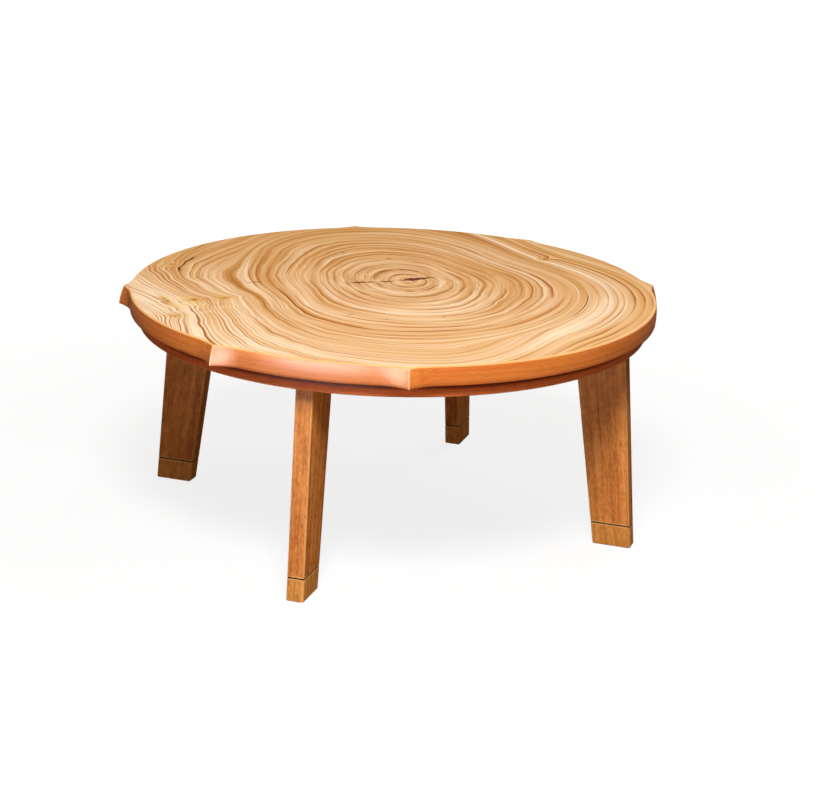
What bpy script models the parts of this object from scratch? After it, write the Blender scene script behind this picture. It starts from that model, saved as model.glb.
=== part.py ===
"""Kotatsu table: a lobed, veneered top lying loose on a round heated frame with four fin legs.

Metres, +Z up. The floor is Z = 0, the table's axis is the Z axis, and the legs stand on the diagonals.
"""

import math

import bmesh
import bpy
from mathutils import Matrix

# Fits between pieces
GAP = 0.0003                  # left between faces that touch
RUNNING_GAP = 0.0015          # left between the turning fan and its motor
WELD = 0.00001                # points closer than this are one
CUTTER_MARGIN = 0.002         # how far a cutter runs past the face it cuts

# Facets of round and rounded pieces
SHARP_ANGLE = 40.0            # degrees between faces past which an edge is sharp
FLAT_ANGLE = 0.5              # degrees between faces up to which they are one flat face
ROD_SIDES = 16
HEX_SIDES = 6
FINE_ROD_SIDES = 12           # screws and pins
BORE_SIDES = 24               # the tube's bores
MOTOR_SIDES = 32
HUB_SIDES = 24
TUBE_SIDES = 4                # bevel resolution of the tube
TUBE_BEND_STEPS = 12
LEG_ROUNDING_STEPS = 2
APRON_CHAMFER_STEPS = 1
ARC_STEP = 5.0                # degrees between points on round outlines
FLARE_STEPS = 5               # points along a cusp's flare

# Table top
TOP_HEIGHT = 0.3889           # floor to upper surface, standing on the extension feet
TOP_THICKNESS = 0.0311
LOBE_RADIUS = 0.4315
CUSP_BEARINGS = (-16.8, 30.2, 73.7, 157.4, 206.8, 247.2)  # degrees from +X, in order
CUSP_RISE_UPPER = 0.011       # how far a cusp's point stands out past the lobes, upper edge
CUSP_RISE_LOWER = 0.0185      # the same at the lower edge
CUSP_HALF_WIDTH = 0.045       # length of the concave flare on each side of a point
RAIL_WIDTH = 0.032
RAIL_CHAMFER = 0.0015
VENEER_THICKNESS = 0.0012
BACKING_THICKNESS = 0.0008

# Frame under the top
APRON_SETBACK = 0.0146        # from the lobes in to the apron's outer face
APRON_THICKNESS = 0.018
APRON_CHAMFER = 0.0012
FRAME_HEIGHT = 0.0195
HEATER_OPENING = 0.300        # clear square between the lattice bars
BAR_WIDTH = 0.030
PAD_DIAMETER = 0.018
PAD_THICKNESS = 0.0019

# Legs and extension feet
LEG_BEARINGS = {"right": -45.0, "back": 45.0, "left": 135.0, "front": 225.0}
LEG_THICKNESS = 0.0280
LEG_SETBACK = 0.0012          # from the apron's inner face in to the leg, at the apron's lower edge
LEG_TOP_WIDTH = 0.0845        # at the apron's lower edge
LEG_FOOT_WIDTH = 0.0632       # at the floor
LEG_SPLAY = 0.0283            # how far the outer edge runs out from the apron down to the floor
LEG_ROUNDING = 0.0018
LEG_HOUSING = 0.003           # how far a leg is let into its gusset
FOOT_HEIGHT = 0.0372
PEG_DIAMETER = 0.010
PEG_IN_LEG = 0.024
PEG_IN_FOOT = 0.020
BOLT_DIAMETER = 0.008
BOLT_IN_LEG = 0.035
BOLT_HEAD_CORNERS = 0.015     # across the corners of the hexagon
BOLT_HEAD_HEIGHT = 0.0055
BOLT_HEAD_SINK = 0.0015       # from the frame's upper face down to the bolt heads

# Heater unit
HOUSING_CLEARANCE = 0.002     # all round inside the lattice, and below the frame's upper face
HOUSING_SHEET = 0.001
HOUSING_DRAFT = 0.001
FLANGE_OVERLAP = 0.018        # under the lattice bars
REFLECTOR_SHEET = 0.0008
REFLECTOR_LIP = 0.010         # from the opening's edge in to the reflector's slope
REFLECTOR_SLOPE = 0.030
REFLECTOR_RISE = 0.010
GUARD_SHEET = 0.0012
GUARD_LIP = 0.020             # from the opening's edge in to the basket's wall
GUARD_SLOPE = 0.010
GUARD_DEPTH = 0.045
GUARD_LAP = 0.008             # lip inside the basket's wall, with the grille fixed under it
GUARD_BORDER = 0.012          # solid border round the grille's slots
GUARD_RIB = 0.012             # solid rib between the two rows of slots
SLOT_WIDTH = 0.011
SLOT_PITCH = 0.018
TUBE_DIAMETER = 0.010
TUBE_SPACING = 0.150          # between the straight runs of the bent tube
TUBE_EDGE = 0.003             # from the tube's holders and clip to the edge of the reflector's plate
TUBE_DROP = 0.024             # below the reflector's plate
BRACKET_WIDTH = 0.020
BRACKET_BELOW_TUBE = 0.005    # material under the tube's bore
HOLDER_THICKNESS = 0.012
CLIP_THICKNESS = 0.004
MOTOR_DIAMETER = 0.044
MOTOR_HEIGHT = 0.020
SHAFT_DIAMETER = 0.004
SHAFT_IN_MOTOR = 0.012
FAN_DIAMETER = 0.110
FAN_HEIGHT = 0.016
HUB_DIAMETER = 0.026
BLADE_COUNT = 5
BLADE_WIDTH = 0.020
BLADE_THICKNESS = 0.0014
BLADE_PITCH = 35.0            # degrees
CUTOUT_DIAMETER = 0.014
CUTOUT_HEIGHT = 0.006
CUTOUT_X = 0.036
CUTOUT_Y = -0.070
INLET_DEPTH = 0.028
INLET_WIDTH = 0.040
INLET_HEIGHT = 0.026
INLET_WALL = 0.004
INLET_RECESS = 0.016
PIN_DIAMETER = 0.004
PIN_SPACING = 0.012
PIN_SETBACK = 0.003           # pin ends behind the socket's mouth
SCREW_DIAMETER = 0.004
SCREW_IN_BAR = 0.013
SCREW_REACH = 0.100           # from the middle of a bar to its screws
HEAD_DIAMETER = 0.009
HEAD_HEIGHT = 0.0022

# Levels that follow from the sizes above
TOP_UNDERSIDE = TOP_HEIGHT - TOP_THICKNESS
FRAME_TOP = TOP_UNDERSIDE - PAD_THICKNESS - 2 * GAP
FRAME_BOTTOM = FRAME_TOP - FRAME_HEIGHT
GUSSET_TOP = FRAME_TOP - BOLT_HEAD_SINK - BOLT_HEAD_HEIGHT - GAP
LEG_TOP = FRAME_BOTTOM + LEG_HOUSING - GAP
HOUSING_FLANGE = FRAME_BOTTOM - GAP
REFLECTOR_FLANGE = HOUSING_FLANGE - HOUSING_SHEET - GAP
REFLECTOR_PLATE = REFLECTOR_FLANGE + REFLECTOR_RISE - REFLECTOR_SHEET
GUARD_FLANGE = REFLECTOR_FLANGE - REFLECTOR_SHEET - GAP
GUARD_UNDERSIDE = GUARD_FLANGE - GUARD_SHEET

# Radii and distances from the axis that follow from the sizes above
CORE_RADIUS = LOBE_RADIUS - RAIL_WIDTH - GAP
APRON_RADIUS = LOBE_RADIUS - APRON_SETBACK
APRON_INNER = APRON_RADIUS - APRON_THICKNESS
LEG_TOP_OUTER = APRON_INNER - LEG_SETBACK
FOOT_OUTER = LEG_TOP_OUTER + LEG_SPLAY
BAR_INNER = HEATER_OPENING / 2
BAR_OUTER = BAR_INNER + BAR_WIDTH
BAR_MIDDLE = BAR_INNER + BAR_WIDTH / 2
FLANGE_HALF = BAR_INNER + FLANGE_OVERLAP
PLATE_HALF = BAR_INNER - REFLECTOR_LIP - REFLECTOR_SLOPE
SCREW_OFFSET = BAR_INNER + FLANGE_OVERLAP / 2


for old_object in list(bpy.data.objects):
    bpy.data.objects.remove(old_object)


def new_collection(name):
    """An empty collection in the scene."""
    collection = bpy.data.collections.new(name)
    bpy.context.scene.collection.children.link(collection)
    return collection


PARTS = new_collection("kotatsu_table")
CUTTERS = new_collection("cutters")


# Materials

def linear(channel):
    """A display colour channel from 0 to 255, as the linear value that a shader takes."""
    value = channel / 255
    if value <= 0.04045:
        return value / 12.92
    return ((value + 0.055) / 1.055) ** 2.4


def finish(name, colour, roughness, metallic=0.0):
    """A Principled material of one display colour."""
    material = bpy.data.materials.new(name)
    material.use_nodes = True
    shader = material.node_tree.nodes["Principled BSDF"]
    shader.inputs["Base Color"].default_value = (*(linear(channel) for channel in colour), 1.0)
    shader.inputs["Roughness"].default_value = roughness
    shader.inputs["Metallic"].default_value = metallic
    return material


LOG_VENEER = finish("log_veneer", (236, 190, 132), 0.40)
EDGE_WOOD = finish("edge_wood", (208, 120, 58), 0.42)
PARTICLE_BOARD = finish("particle_board", (188, 158, 118), 0.85)
BACKING_SHEET = finish("backing_sheet", (92, 74, 54), 0.90)
APRON_WOOD = finish("apron_wood", (134, 62, 31), 0.50)
LATTICE_WOOD = finish("lattice_wood", (201, 164, 116), 0.70)
LEG_WOOD = finish("leg_wood", (150, 95, 48), 0.48)
FOOT_WOOD = finish("foot_wood", (164, 106, 56), 0.48)
PEG_WOOD = finish("peg_wood", (214, 182, 138), 0.65)
RUBBER = finish("rubber", (38, 36, 34), 0.90)
ZINC_STEEL = finish("zinc_steel", (176, 178, 182), 0.35, 1.0)
HOUSING_STEEL = finish("housing_steel", (168, 170, 173), 0.42, 1.0)
BRIGHT_STEEL = finish("bright_steel", (216, 218, 220), 0.18, 1.0)
BLACK_PAINT = finish("black_paint", (36, 36, 38), 0.50)
QUARTZ = finish("quartz", (196, 150, 128), 0.12)
CERAMIC = finish("ceramic", (229, 223, 208), 0.60)
MOTOR_SHELL = finish("motor_shell", (62, 64, 68), 0.50)
ALUMINIUM = finish("aluminium", (186, 189, 192), 0.38, 1.0)
BLACK_PLASTIC = finish("black_plastic", (30, 30, 32), 0.48)


# Modelling helpers

def keep(obj, material, parent=None):
    """Make an object a part of the table."""
    obj.data.materials.clear()
    obj.data.materials.append(material)
    obj.parent = parent
    PARTS.objects.link(obj)
    return obj


def keep_cutter(obj, parent=None):
    """Make an object a tool that only shapes others."""
    obj.parent = parent
    obj.hide_render = True
    obj.display_type = "WIRE"
    CUTTERS.objects.link(obj)
    return obj


def combine(target, tool, operation="DIFFERENCE"):
    """Cut a tool out of a target, or join it on."""
    boolean = target.modifiers.new(tool.name, "BOOLEAN")
    boolean.operation = operation
    boolean.solver = "EXACT"
    boolean.object = tool


def round_edges(obj, width, segments):
    """Round the sharp edges of an object."""
    bevel = obj.modifiers.new("rounding", "BEVEL")
    bevel.width = width
    bevel.segments = segments
    bevel.limit_method = "ANGLE"
    bevel.angle_limit = math.radians(SHARP_ANGLE)


def axis_empty(name, location=(0, 0, 0), bearing=0.0):
    """An empty that carries the pieces on one axis, turned about +Z by a bearing in degrees."""
    empty = bpy.data.objects.new(name, None)
    empty.location = location
    empty.rotation_euler = (0, 0, math.radians(bearing))
    PARTS.objects.link(empty)
    return empty


def mesh_object(name, body, location, smooth=False):
    """An object made from a finished bmesh."""
    mesh = bpy.data.meshes.new(name)
    body.to_mesh(mesh)
    body.free()
    if smooth:
        mesh.shade_smooth()
        mesh.set_sharp_from_angle(angle=math.radians(SHARP_ANGLE))
    obj = bpy.data.objects.new(name, mesh)
    obj.location = location
    return obj


def box(name, size, location):
    """A box by its size and its centre."""
    body = bmesh.new()
    bmesh.ops.create_cube(body, size=1.0, matrix=Matrix.Diagonal((*size, 1.0)))
    return mesh_object(name, body, location)


def rod(name, diameter, low, high, place=(0, 0), sides=ROD_SIDES):
    """An upright cylinder between two levels."""
    body = bmesh.new()
    bmesh.ops.create_cone(
        body, cap_ends=True, segments=sides, radius1=diameter / 2, radius2=diameter / 2, depth=high - low)
    return mesh_object(name, body, (*place, (low + high) / 2), smooth=sides > HEX_SIDES)


def turned(name, profile, steps, location):
    """A body of revolution about +Z; its profile runs down the outer side, from axis to axis."""
    body = bmesh.new()
    points = [body.verts.new((radius, 0, level)) for radius, level in profile]
    for upper, lower in zip(points, points[1:]):
        body.edges.new((upper, lower))
    obj = mesh_object(name, body, location)
    screw = obj.modifiers.new("turning", "SCREW")
    screw.steps = steps
    screw.render_steps = steps
    screw.use_merge_vertices = True
    screw.merge_threshold = WELD
    return obj


def curve_mesh(curve):
    """A curve object's evaluated surface as a welded bmesh; the curve itself is removed."""
    drawn = bpy.data.objects.new(curve.name, curve)
    bpy.context.scene.collection.objects.link(drawn)
    evaluated = drawn.evaluated_get(bpy.context.evaluated_depsgraph_get())
    mesh = bpy.data.meshes.new_from_object(evaluated)
    bpy.data.objects.remove(drawn)
    bpy.data.curves.remove(curve)
    body = bmesh.new()
    body.from_mesh(mesh)
    bpy.data.meshes.remove(mesh)
    bmesh.ops.remove_doubles(body, verts=body.verts, dist=WELD)
    bmesh.ops.recalc_face_normals(body, faces=body.faces)
    return body


def plate(name, outline, thickness, location=(0, 0, 0)):
    """A flat outline in XY, extruded about its middle plane."""
    curve = bpy.data.curves.new(name, "CURVE")
    curve.dimensions = "2D"
    curve.fill_mode = "BOTH"
    curve.extrude = thickness / 2
    spline = curve.splines.new("POLY")
    spline.points.add(len(outline) - 1)
    for point, (x, y) in zip(spline.points, outline):
        point.co = (x, y, 0, 1)
    spline.use_cyclic_u = True
    body = curve_mesh(curve)
    bmesh.ops.dissolve_limit(
        body, angle_limit=math.radians(FLAT_ANGLE), verts=body.verts, edges=body.edges)
    return mesh_object(name, body, location)


def loft(name, sections):
    """A closed body through sections of as many points each, with flat ends."""
    body = bmesh.new()
    rings = [[body.verts.new(point) for point in section] for section in sections]
    for near, far in zip(rings, rings[1:]):
        for index, point in enumerate(near):
            after = (index + 1) % len(near)
            body.faces.new((point, near[after], far[after], far[index]))
    body.faces.new(rings[0])
    body.faces.new(rings[-1])
    bmesh.ops.recalc_face_normals(body, faces=body.faces)
    return mesh_object(name, body, (0, 0, 0))


def dished_sheet(name, half_width, steps, sheet, level, open_middle=False):
    """A square sheet pressed in steps, each an inset and a rise; the outline lies at the level given."""
    body = bmesh.new()
    bmesh.ops.create_grid(body, x_segments=1, y_segments=1, size=half_width)
    middle = [body.faces[:][0]]
    for inset, rise in steps:
        bmesh.ops.inset_region(
            body, faces=middle, thickness=inset, depth=rise, use_boundary=True, use_even_offset=True)
    if open_middle:
        bmesh.ops.delete(body, geom=middle, context="FACES")
    obj = mesh_object(name, body, (0, 0, level))
    solidify = obj.modifiers.new("sheet", "SOLIDIFY")
    solidify.thickness = sheet
    solidify.offset = -1
    solidify.use_even_offset = True
    solidify.use_quality_normals = True
    return obj


# Round outlines, all with points at the same bearings so that nested faces stay parallel

def polar(radius, bearing):
    """A point in XY by its radius and its bearing in degrees."""
    angle = math.radians(bearing)
    return radius * math.cos(angle), radius * math.sin(angle)


def facet_radius(radius, bearing):
    """The radius at a bearing of the many-sided outline that stands in for a circle."""
    from_middle = bearing % ARC_STEP - ARC_STEP / 2
    half_step = math.radians(ARC_STEP / 2)
    return radius * math.cos(half_step) / math.cos(math.radians(from_middle))


def faceted_arc(radius, start, end):
    """Points from one bearing to another along the many-sided outline."""
    first = math.floor(start / ARC_STEP) + 1
    last = math.ceil(end / ARC_STEP) - 1
    bearings = [start] + [index * ARC_STEP for index in range(first, last + 1)] + [end]
    return [polar(facet_radius(radius, bearing), bearing) for bearing in bearings]


def bearing_at_offset(radius, offset):
    """The bearing at which the many-sided outline meets the line Y = offset."""
    first = math.floor(math.degrees(math.asin(offset / radius)) / ARC_STEP)
    near_x, near_y = polar(radius, first * ARC_STEP)
    far_x, far_y = polar(radius, (first + 1) * ARC_STEP)
    share = (offset - near_y) / (far_y - near_y)
    return math.degrees(math.atan2(offset, near_x + share * (far_x - near_x)))


# Table top

def flare_angle():
    """The flare's length as an angle in degrees."""
    return math.degrees(CUSP_HALF_WIDTH / LOBE_RADIUS)


def outline_radius(from_cusp, rise):
    """The top's radius at an angle from the nearest cusp: a round lobe, flaring out to a point."""
    nearness = max(0.0, 1 - from_cusp / flare_angle())
    return LOBE_RADIUS + rise * nearness ** 2


def lobe_stations(start, end):
    """Bearings along one lobe, each with its angle from the nearer cusp."""
    flare = flare_angle()
    arc = end - start - 2 * flare
    arc_steps = max(1, round(arc / ARC_STEP))
    from_start = [flare * index / FLARE_STEPS for index in range(FLARE_STEPS)]
    from_start += [flare + arc * index / arc_steps for index in range(arc_steps + 1)]
    from_start += [end - start - flare * (1 - index / FLARE_STEPS) for index in range(1, FLARE_STEPS + 1)]
    return [(start + angle, min(angle, end - start - angle)) for angle in from_start]


def lobes():
    """The stations of each lobe in turn, from cusp to cusp."""
    ends = CUSP_BEARINGS[1:] + (CUSP_BEARINGS[0] + 360,)
    return [lobe_stations(start, end) for start, end in zip(CUSP_BEARINGS, ends)]


def top_outline(radius_of):
    """The closed outline of the top, with a radius for each angle from a cusp."""
    stations = [station for lobe in lobes() for station in lobe[:-1]]
    return [polar(radius_of(from_cusp), bearing) for bearing, from_cusp in stations]


def rail_section(bearing, from_cusp, underside, upper_face):
    """Five corners of an edge rail: lower outer, upper outer, chamfer, upper inner, lower inner."""
    lower = outline_radius(from_cusp, CUSP_RISE_LOWER)
    upper = outline_radius(from_cusp, CUSP_RISE_UPPER)
    inner = CORE_RADIUS + GAP
    corners = (
        (lower, underside), (upper, upper_face - RAIL_CHAMFER), (upper - RAIL_CHAMFER, upper_face),
        (inner, upper_face), (inner, underside))
    return [(*polar(radius, bearing), level) for radius, level in corners]


def make_top():
    """Core, veneer, backing and six mitred edge rails, carried by one empty on the table's axis."""
    axis = axis_empty("top_axis", (0, 0, TOP_UNDERSIDE))
    veneer_bottom = TOP_THICKNESS - VENEER_THICKNESS
    core_bottom = BACKING_THICKNESS + GAP
    core_top = veneer_bottom - GAP
    core_outline = top_outline(lambda from_cusp: CORE_RADIUS)
    veneer_outline = top_outline(
        lambda from_cusp: outline_radius(from_cusp, CUSP_RISE_UPPER) - RAIL_CHAMFER)

    core = plate("top_core", core_outline, core_top - core_bottom, (0, 0, (core_top + core_bottom) / 2))
    keep(core, PARTICLE_BOARD, axis)
    veneer_middle = veneer_bottom + VENEER_THICKNESS / 2
    keep(plate("top_veneer", veneer_outline, VENEER_THICKNESS, (0, 0, veneer_middle)), LOG_VENEER, axis)
    backing = plate("top_backing", core_outline, BACKING_THICKNESS, (0, 0, BACKING_THICKNESS / 2))
    keep(backing, BACKING_SHEET, axis)

    mitre = math.degrees(GAP / 2 / LOBE_RADIUS)
    for number, stations in enumerate(lobes(), start=1):
        (start, _), *between, (end, _) = stations
        trimmed = [(start + mitre, mitre), *between, (end - mitre, mitre)]
        sections = [rail_section(*station, 0.0, core_top) for station in trimmed]
        keep(loft(f"edge_rail_{number}", sections), EDGE_WOOD, axis)


# Frame

def make_apron():
    """A ring in four arcs that meet over the legs."""
    joint = math.degrees(GAP / 2 / APRON_RADIUS)
    starts = sorted(LEG_BEARINGS.values())
    for number, start in enumerate(starts, start=1):
        outer = faceted_arc(APRON_RADIUS, start + joint, start + 90 - joint)
        inner = faceted_arc(APRON_INNER, start + joint, start + 90 - joint)
        middle = FRAME_BOTTOM + FRAME_HEIGHT / 2
        arc = plate(f"apron_{number}", outer + inner[::-1], FRAME_HEIGHT, (0, 0, middle))
        round_edges(arc, APRON_CHAMFER, APRON_CHAMFER_STEPS)
        keep(arc, APRON_WOOD)


def bar_outline(radius):
    """A lattice bar along X on the +Y side, its ends following the apron."""
    low = bearing_at_offset(radius, BAR_INNER)
    high = bearing_at_offset(radius, BAR_OUTER)
    right_end = faceted_arc(radius, low, high)
    return right_end + [(-x, y) for x, y in reversed(right_end)]


def make_lattice(screw_holes):
    """Four bars half-lapped where they cross, round the square opening for the heater."""
    middle = FRAME_BOTTOM + FRAME_HEIGHT / 2
    lap_size = BAR_WIDTH + 2 * GAP
    lap_depth = FRAME_HEIGHT / 2 + GAP / 2 + CUTTER_MARGIN
    upper_lap = FRAME_TOP + CUTTER_MARGIN - lap_depth / 2
    lower_lap = FRAME_BOTTOM - CUTTER_MARGIN + lap_depth / 2
    bars = (
        ("back", 0, upper_lap), ("left", 90, lower_lap),
        ("front", 180, upper_lap), ("right", 270, lower_lap))
    for side, bearing, lap_level in bars:
        turn = axis_empty(f"lattice_{side}_turn", bearing=bearing)
        bar = plate(f"lattice_{side}", bar_outline(APRON_INNER - GAP), FRAME_HEIGHT, (0, 0, middle))
        for name, x in (("a", BAR_MIDDLE), ("b", -BAR_MIDDLE)):
            lap = box(f"lap_{side}_{name}", (lap_size, lap_size, lap_depth), (x, BAR_MIDDLE, lap_level))
            combine(bar, keep_cutter(lap, turn))
        for hole in screw_holes.get(side, ()):
            combine(bar, hole)
        keep(bar, LATTICE_WOOD, turn)


def make_pads():
    """A rubber pad on each crossing of the lattice, carrying the loose top."""
    for corner, bearing in LEG_BEARINGS.items():
        place = polar(BAR_MIDDLE * math.sqrt(2), bearing)
        pad = rod(f"rest_pad_{corner}", PAD_DIAMETER, FRAME_TOP + GAP, FRAME_TOP + GAP + PAD_THICKNESS, place)
        keep(pad, RUBBER)


# Legs

def leg_outer(level):
    """Radius of a leg's outer edge at a level."""
    return FOOT_OUTER - LEG_SPLAY * level / FRAME_BOTTOM


def leg_inner(level):
    """Radius of a leg's inner edge at a level."""
    width = LEG_FOOT_WIDTH + (LEG_TOP_WIDTH - LEG_FOOT_WIDTH) * level / FRAME_BOTTOM
    return leg_outer(level) - width


def fin(name, low, high, axis_radius):
    """A stretch of a leg between two levels, upright, with X measured outward from an axis."""
    corners = (
        (leg_inner(low), low), (leg_outer(low), low), (leg_outer(high), high), (leg_inner(high), high))
    outline = [(radius - axis_radius, level) for radius, level in corners]
    obj = plate(name, outline, LEG_THICKNESS)
    obj.rotation_euler = (math.radians(90), 0, 0)
    round_edges(obj, LEG_ROUNDING, LEG_ROUNDING_STEPS)
    return obj


def make_gusset(corner, bearing, bolt_radius):
    """A plate in the corner between two bars and the apron, let out below for the leg."""
    turn = axis_empty(f"gusset_{corner}_turn", bearing=bearing - 45)
    inner = BAR_OUTER + GAP
    radius = APRON_INNER - GAP
    arc_start = bearing_at_offset(radius, inner)
    outline = [(inner, inner)] + faceted_arc(radius, arc_start, 90 - arc_start)
    gusset = plate(
        f"gusset_{corner}", outline, GUSSET_TOP - FRAME_BOTTOM, (0, 0, (GUSSET_TOP + FRAME_BOTTOM) / 2))

    recess_start = leg_inner(LEG_TOP) - GAP
    recess_length = APRON_RADIUS - recess_start
    recess_height = LEG_HOUSING + CUTTER_MARGIN
    size = (recess_length, LEG_THICKNESS + 2 * GAP, recess_height)
    place = polar(recess_start + recess_length / 2, 45)
    recess = box(f"leg_housing_{corner}", size, (*place, FRAME_BOTTOM - CUTTER_MARGIN + recess_height / 2))
    recess.rotation_euler = (0, 0, math.radians(45))
    combine(gusset, keep_cutter(recess, turn))
    hole = rod(
        f"gusset_hole_{corner}", BOLT_DIAMETER + 2 * GAP, FRAME_BOTTOM - CUTTER_MARGIN,
        GUSSET_TOP + CUTTER_MARGIN, polar(bolt_radius, 45))
    combine(gusset, keep_cutter(hole, turn))
    keep(gusset, LATTICE_WOOD, turn)


def make_leg(corner, bearing):
    """A fin leg bolted up into its gusset, with an extension foot pegged on below it."""
    turn = axis_empty(f"leg_{corner}_turn", bearing=bearing)
    bolt_radius = (leg_outer(LEG_TOP) + leg_inner(LEG_TOP)) / 2
    peg_radius = (leg_outer(FOOT_HEIGHT) + leg_inner(FOOT_HEIGHT)) / 2
    leg_bottom = FOOT_HEIGHT + GAP / 2
    foot_top = FOOT_HEIGHT - GAP / 2
    make_gusset(corner, bearing, bolt_radius)

    leg = fin(f"leg_{corner}", leg_bottom, LEG_TOP, 0)
    bolt_bore = rod(
        f"bolt_bore_{corner}", BOLT_DIAMETER + 2 * GAP, LEG_TOP - BOLT_IN_LEG - GAP,
        LEG_TOP + CUTTER_MARGIN, (bolt_radius, 0))
    peg_bore = rod(
        f"peg_bore_{corner}", PEG_DIAMETER + 2 * GAP, leg_bottom - CUTTER_MARGIN,
        leg_bottom + PEG_IN_LEG + GAP, (peg_radius, 0))
    combine(leg, keep_cutter(bolt_bore, turn))
    combine(leg, keep_cutter(peg_bore, turn))
    keep(leg, LEG_WOOD, turn)

    head_bottom = GUSSET_TOP + GAP
    head_top = head_bottom + BOLT_HEAD_HEIGHT
    bolt = rod(
        f"leg_bolt_{corner}", BOLT_DIAMETER, LEG_TOP - BOLT_IN_LEG, (head_bottom + head_top) / 2,
        (bolt_radius, 0))
    head = rod(
        f"bolt_head_{corner}", BOLT_HEAD_CORNERS, head_bottom, head_top, (bolt_radius, 0), sides=HEX_SIDES)
    combine(bolt, keep_cutter(head, turn), "UNION")
    keep(bolt, ZINC_STEEL, turn)

    foot_axis = axis_empty(f"foot_{corner}_axis", (*polar(peg_radius, bearing), 0), bearing)
    foot = fin(f"foot_{corner}", 0, foot_top, peg_radius)
    foot_bore = rod(
        f"foot_bore_{corner}", PEG_DIAMETER + 2 * GAP, foot_top - PEG_IN_FOOT - GAP,
        foot_top + CUTTER_MARGIN)
    combine(foot, keep_cutter(foot_bore, foot_axis))
    keep(foot, FOOT_WOOD, foot_axis)
    peg = rod(f"foot_peg_{corner}", PEG_DIAMETER, foot_top - PEG_IN_FOOT, leg_bottom + PEG_IN_LEG)
    keep(peg, PEG_WOOD, foot_axis)


# Heater unit

def make_heater_screws():
    """Four screws up through the heater's flanges into two of the bars; gives the holes by bar."""
    holes = {"back": [], "front": []}
    head_top = GUARD_UNDERSIDE - GAP
    shank_top = FRAME_BOTTOM + SCREW_IN_BAR
    profile = (
        (0, shank_top), (SCREW_DIAMETER / 2, shank_top), (SCREW_DIAMETER / 2, head_top),
        (HEAD_DIAMETER / 2, head_top), (HEAD_DIAMETER / 2, head_top - HEAD_HEIGHT),
        (0, head_top - HEAD_HEIGHT))
    corners = (("back", 1, 1), ("back", -1, 1), ("front", -1, -1), ("front", 1, -1))
    for number, (side, x_side, y_side) in enumerate(corners, start=1):
        place = (x_side * SCREW_REACH, y_side * SCREW_OFFSET)
        keep(turned(f"heater_screw_{number}", profile, FINE_ROD_SIDES, (*place, 0)), ZINC_STEEL)
        hole = rod(
            f"screw_hole_{number}", SCREW_DIAMETER + 2 * GAP, GUARD_UNDERSIDE - CUTTER_MARGIN,
            shank_top + GAP, place, sides=FINE_ROD_SIDES)
        holes[side].append(keep_cutter(hole))
    return holes


def make_heater_sheets(holes):
    """Housing pan, reflector and the guard's basket frame, their flanges stacked under the bars."""
    housing_inset = FLANGE_OVERLAP + HOUSING_CLEARANCE
    housing_rise = FRAME_TOP - HOUSING_CLEARANCE - HOUSING_FLANGE
    housing = dished_sheet(
        "heater_housing", FLANGE_HALF, ((housing_inset, 0), (HOUSING_DRAFT, housing_rise)), HOUSING_SHEET,
        HOUSING_FLANGE)
    reflector = dished_sheet(
        "heater_reflector", FLANGE_HALF,
        ((FLANGE_OVERLAP + REFLECTOR_LIP, 0), (REFLECTOR_SLOPE, REFLECTOR_RISE)), REFLECTOR_SHEET,
        REFLECTOR_FLANGE)
    guard_steps = ((FLANGE_OVERLAP + GUARD_LIP, 0), (GUARD_SLOPE, -GUARD_DEPTH), (GUARD_LAP, 0))
    guard = dished_sheet(
        "heater_guard", FLANGE_HALF, guard_steps, GUARD_SHEET, GUARD_FLANGE, open_middle=True)
    for sheet, material in ((housing, HOUSING_STEEL), (reflector, BRIGHT_STEEL), (guard, BLACK_PAINT)):
        for hole in holes:
            combine(sheet, hole)
        keep(sheet, material)


def make_guard_grille():
    """A slotted plate fixed under the lip of the guard's basket frame."""
    grille_half = BAR_INNER - GUARD_LIP - GUARD_SLOPE
    level = GUARD_UNDERSIDE - GUARD_DEPTH - GAP - GUARD_SHEET / 2
    grille = box("guard_grille", (2 * grille_half, 2 * grille_half, GUARD_SHEET), (0, 0, level))
    field_half = grille_half - GUARD_BORDER
    slot_count = int((2 * field_half - SLOT_WIDTH) / SLOT_PITCH) + 1
    slot_length = field_half - GUARD_RIB / 2
    first_x = -SLOT_PITCH * (slot_count - 1) / 2
    first_y = -(slot_length + GUARD_RIB) / 2
    slot_height = GUARD_SHEET + 2 * CUTTER_MARGIN
    slots = box("guard_slots", (SLOT_WIDTH, slot_length, slot_height), (first_x, first_y, level))
    rows = (("columns", slot_count, (SLOT_PITCH, 0, 0)), ("rows", 2, (0, slot_length + GUARD_RIB, 0)))
    for name, count, offset in rows:
        array = slots.modifiers.new(name, "ARRAY")
        array.count = count
        array.use_relative_offset = False
        array.use_constant_offset = True
        array.constant_offset_displace = offset
    combine(grille, keep_cutter(slots))
    keep(grille, BLACK_PAINT)


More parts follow.
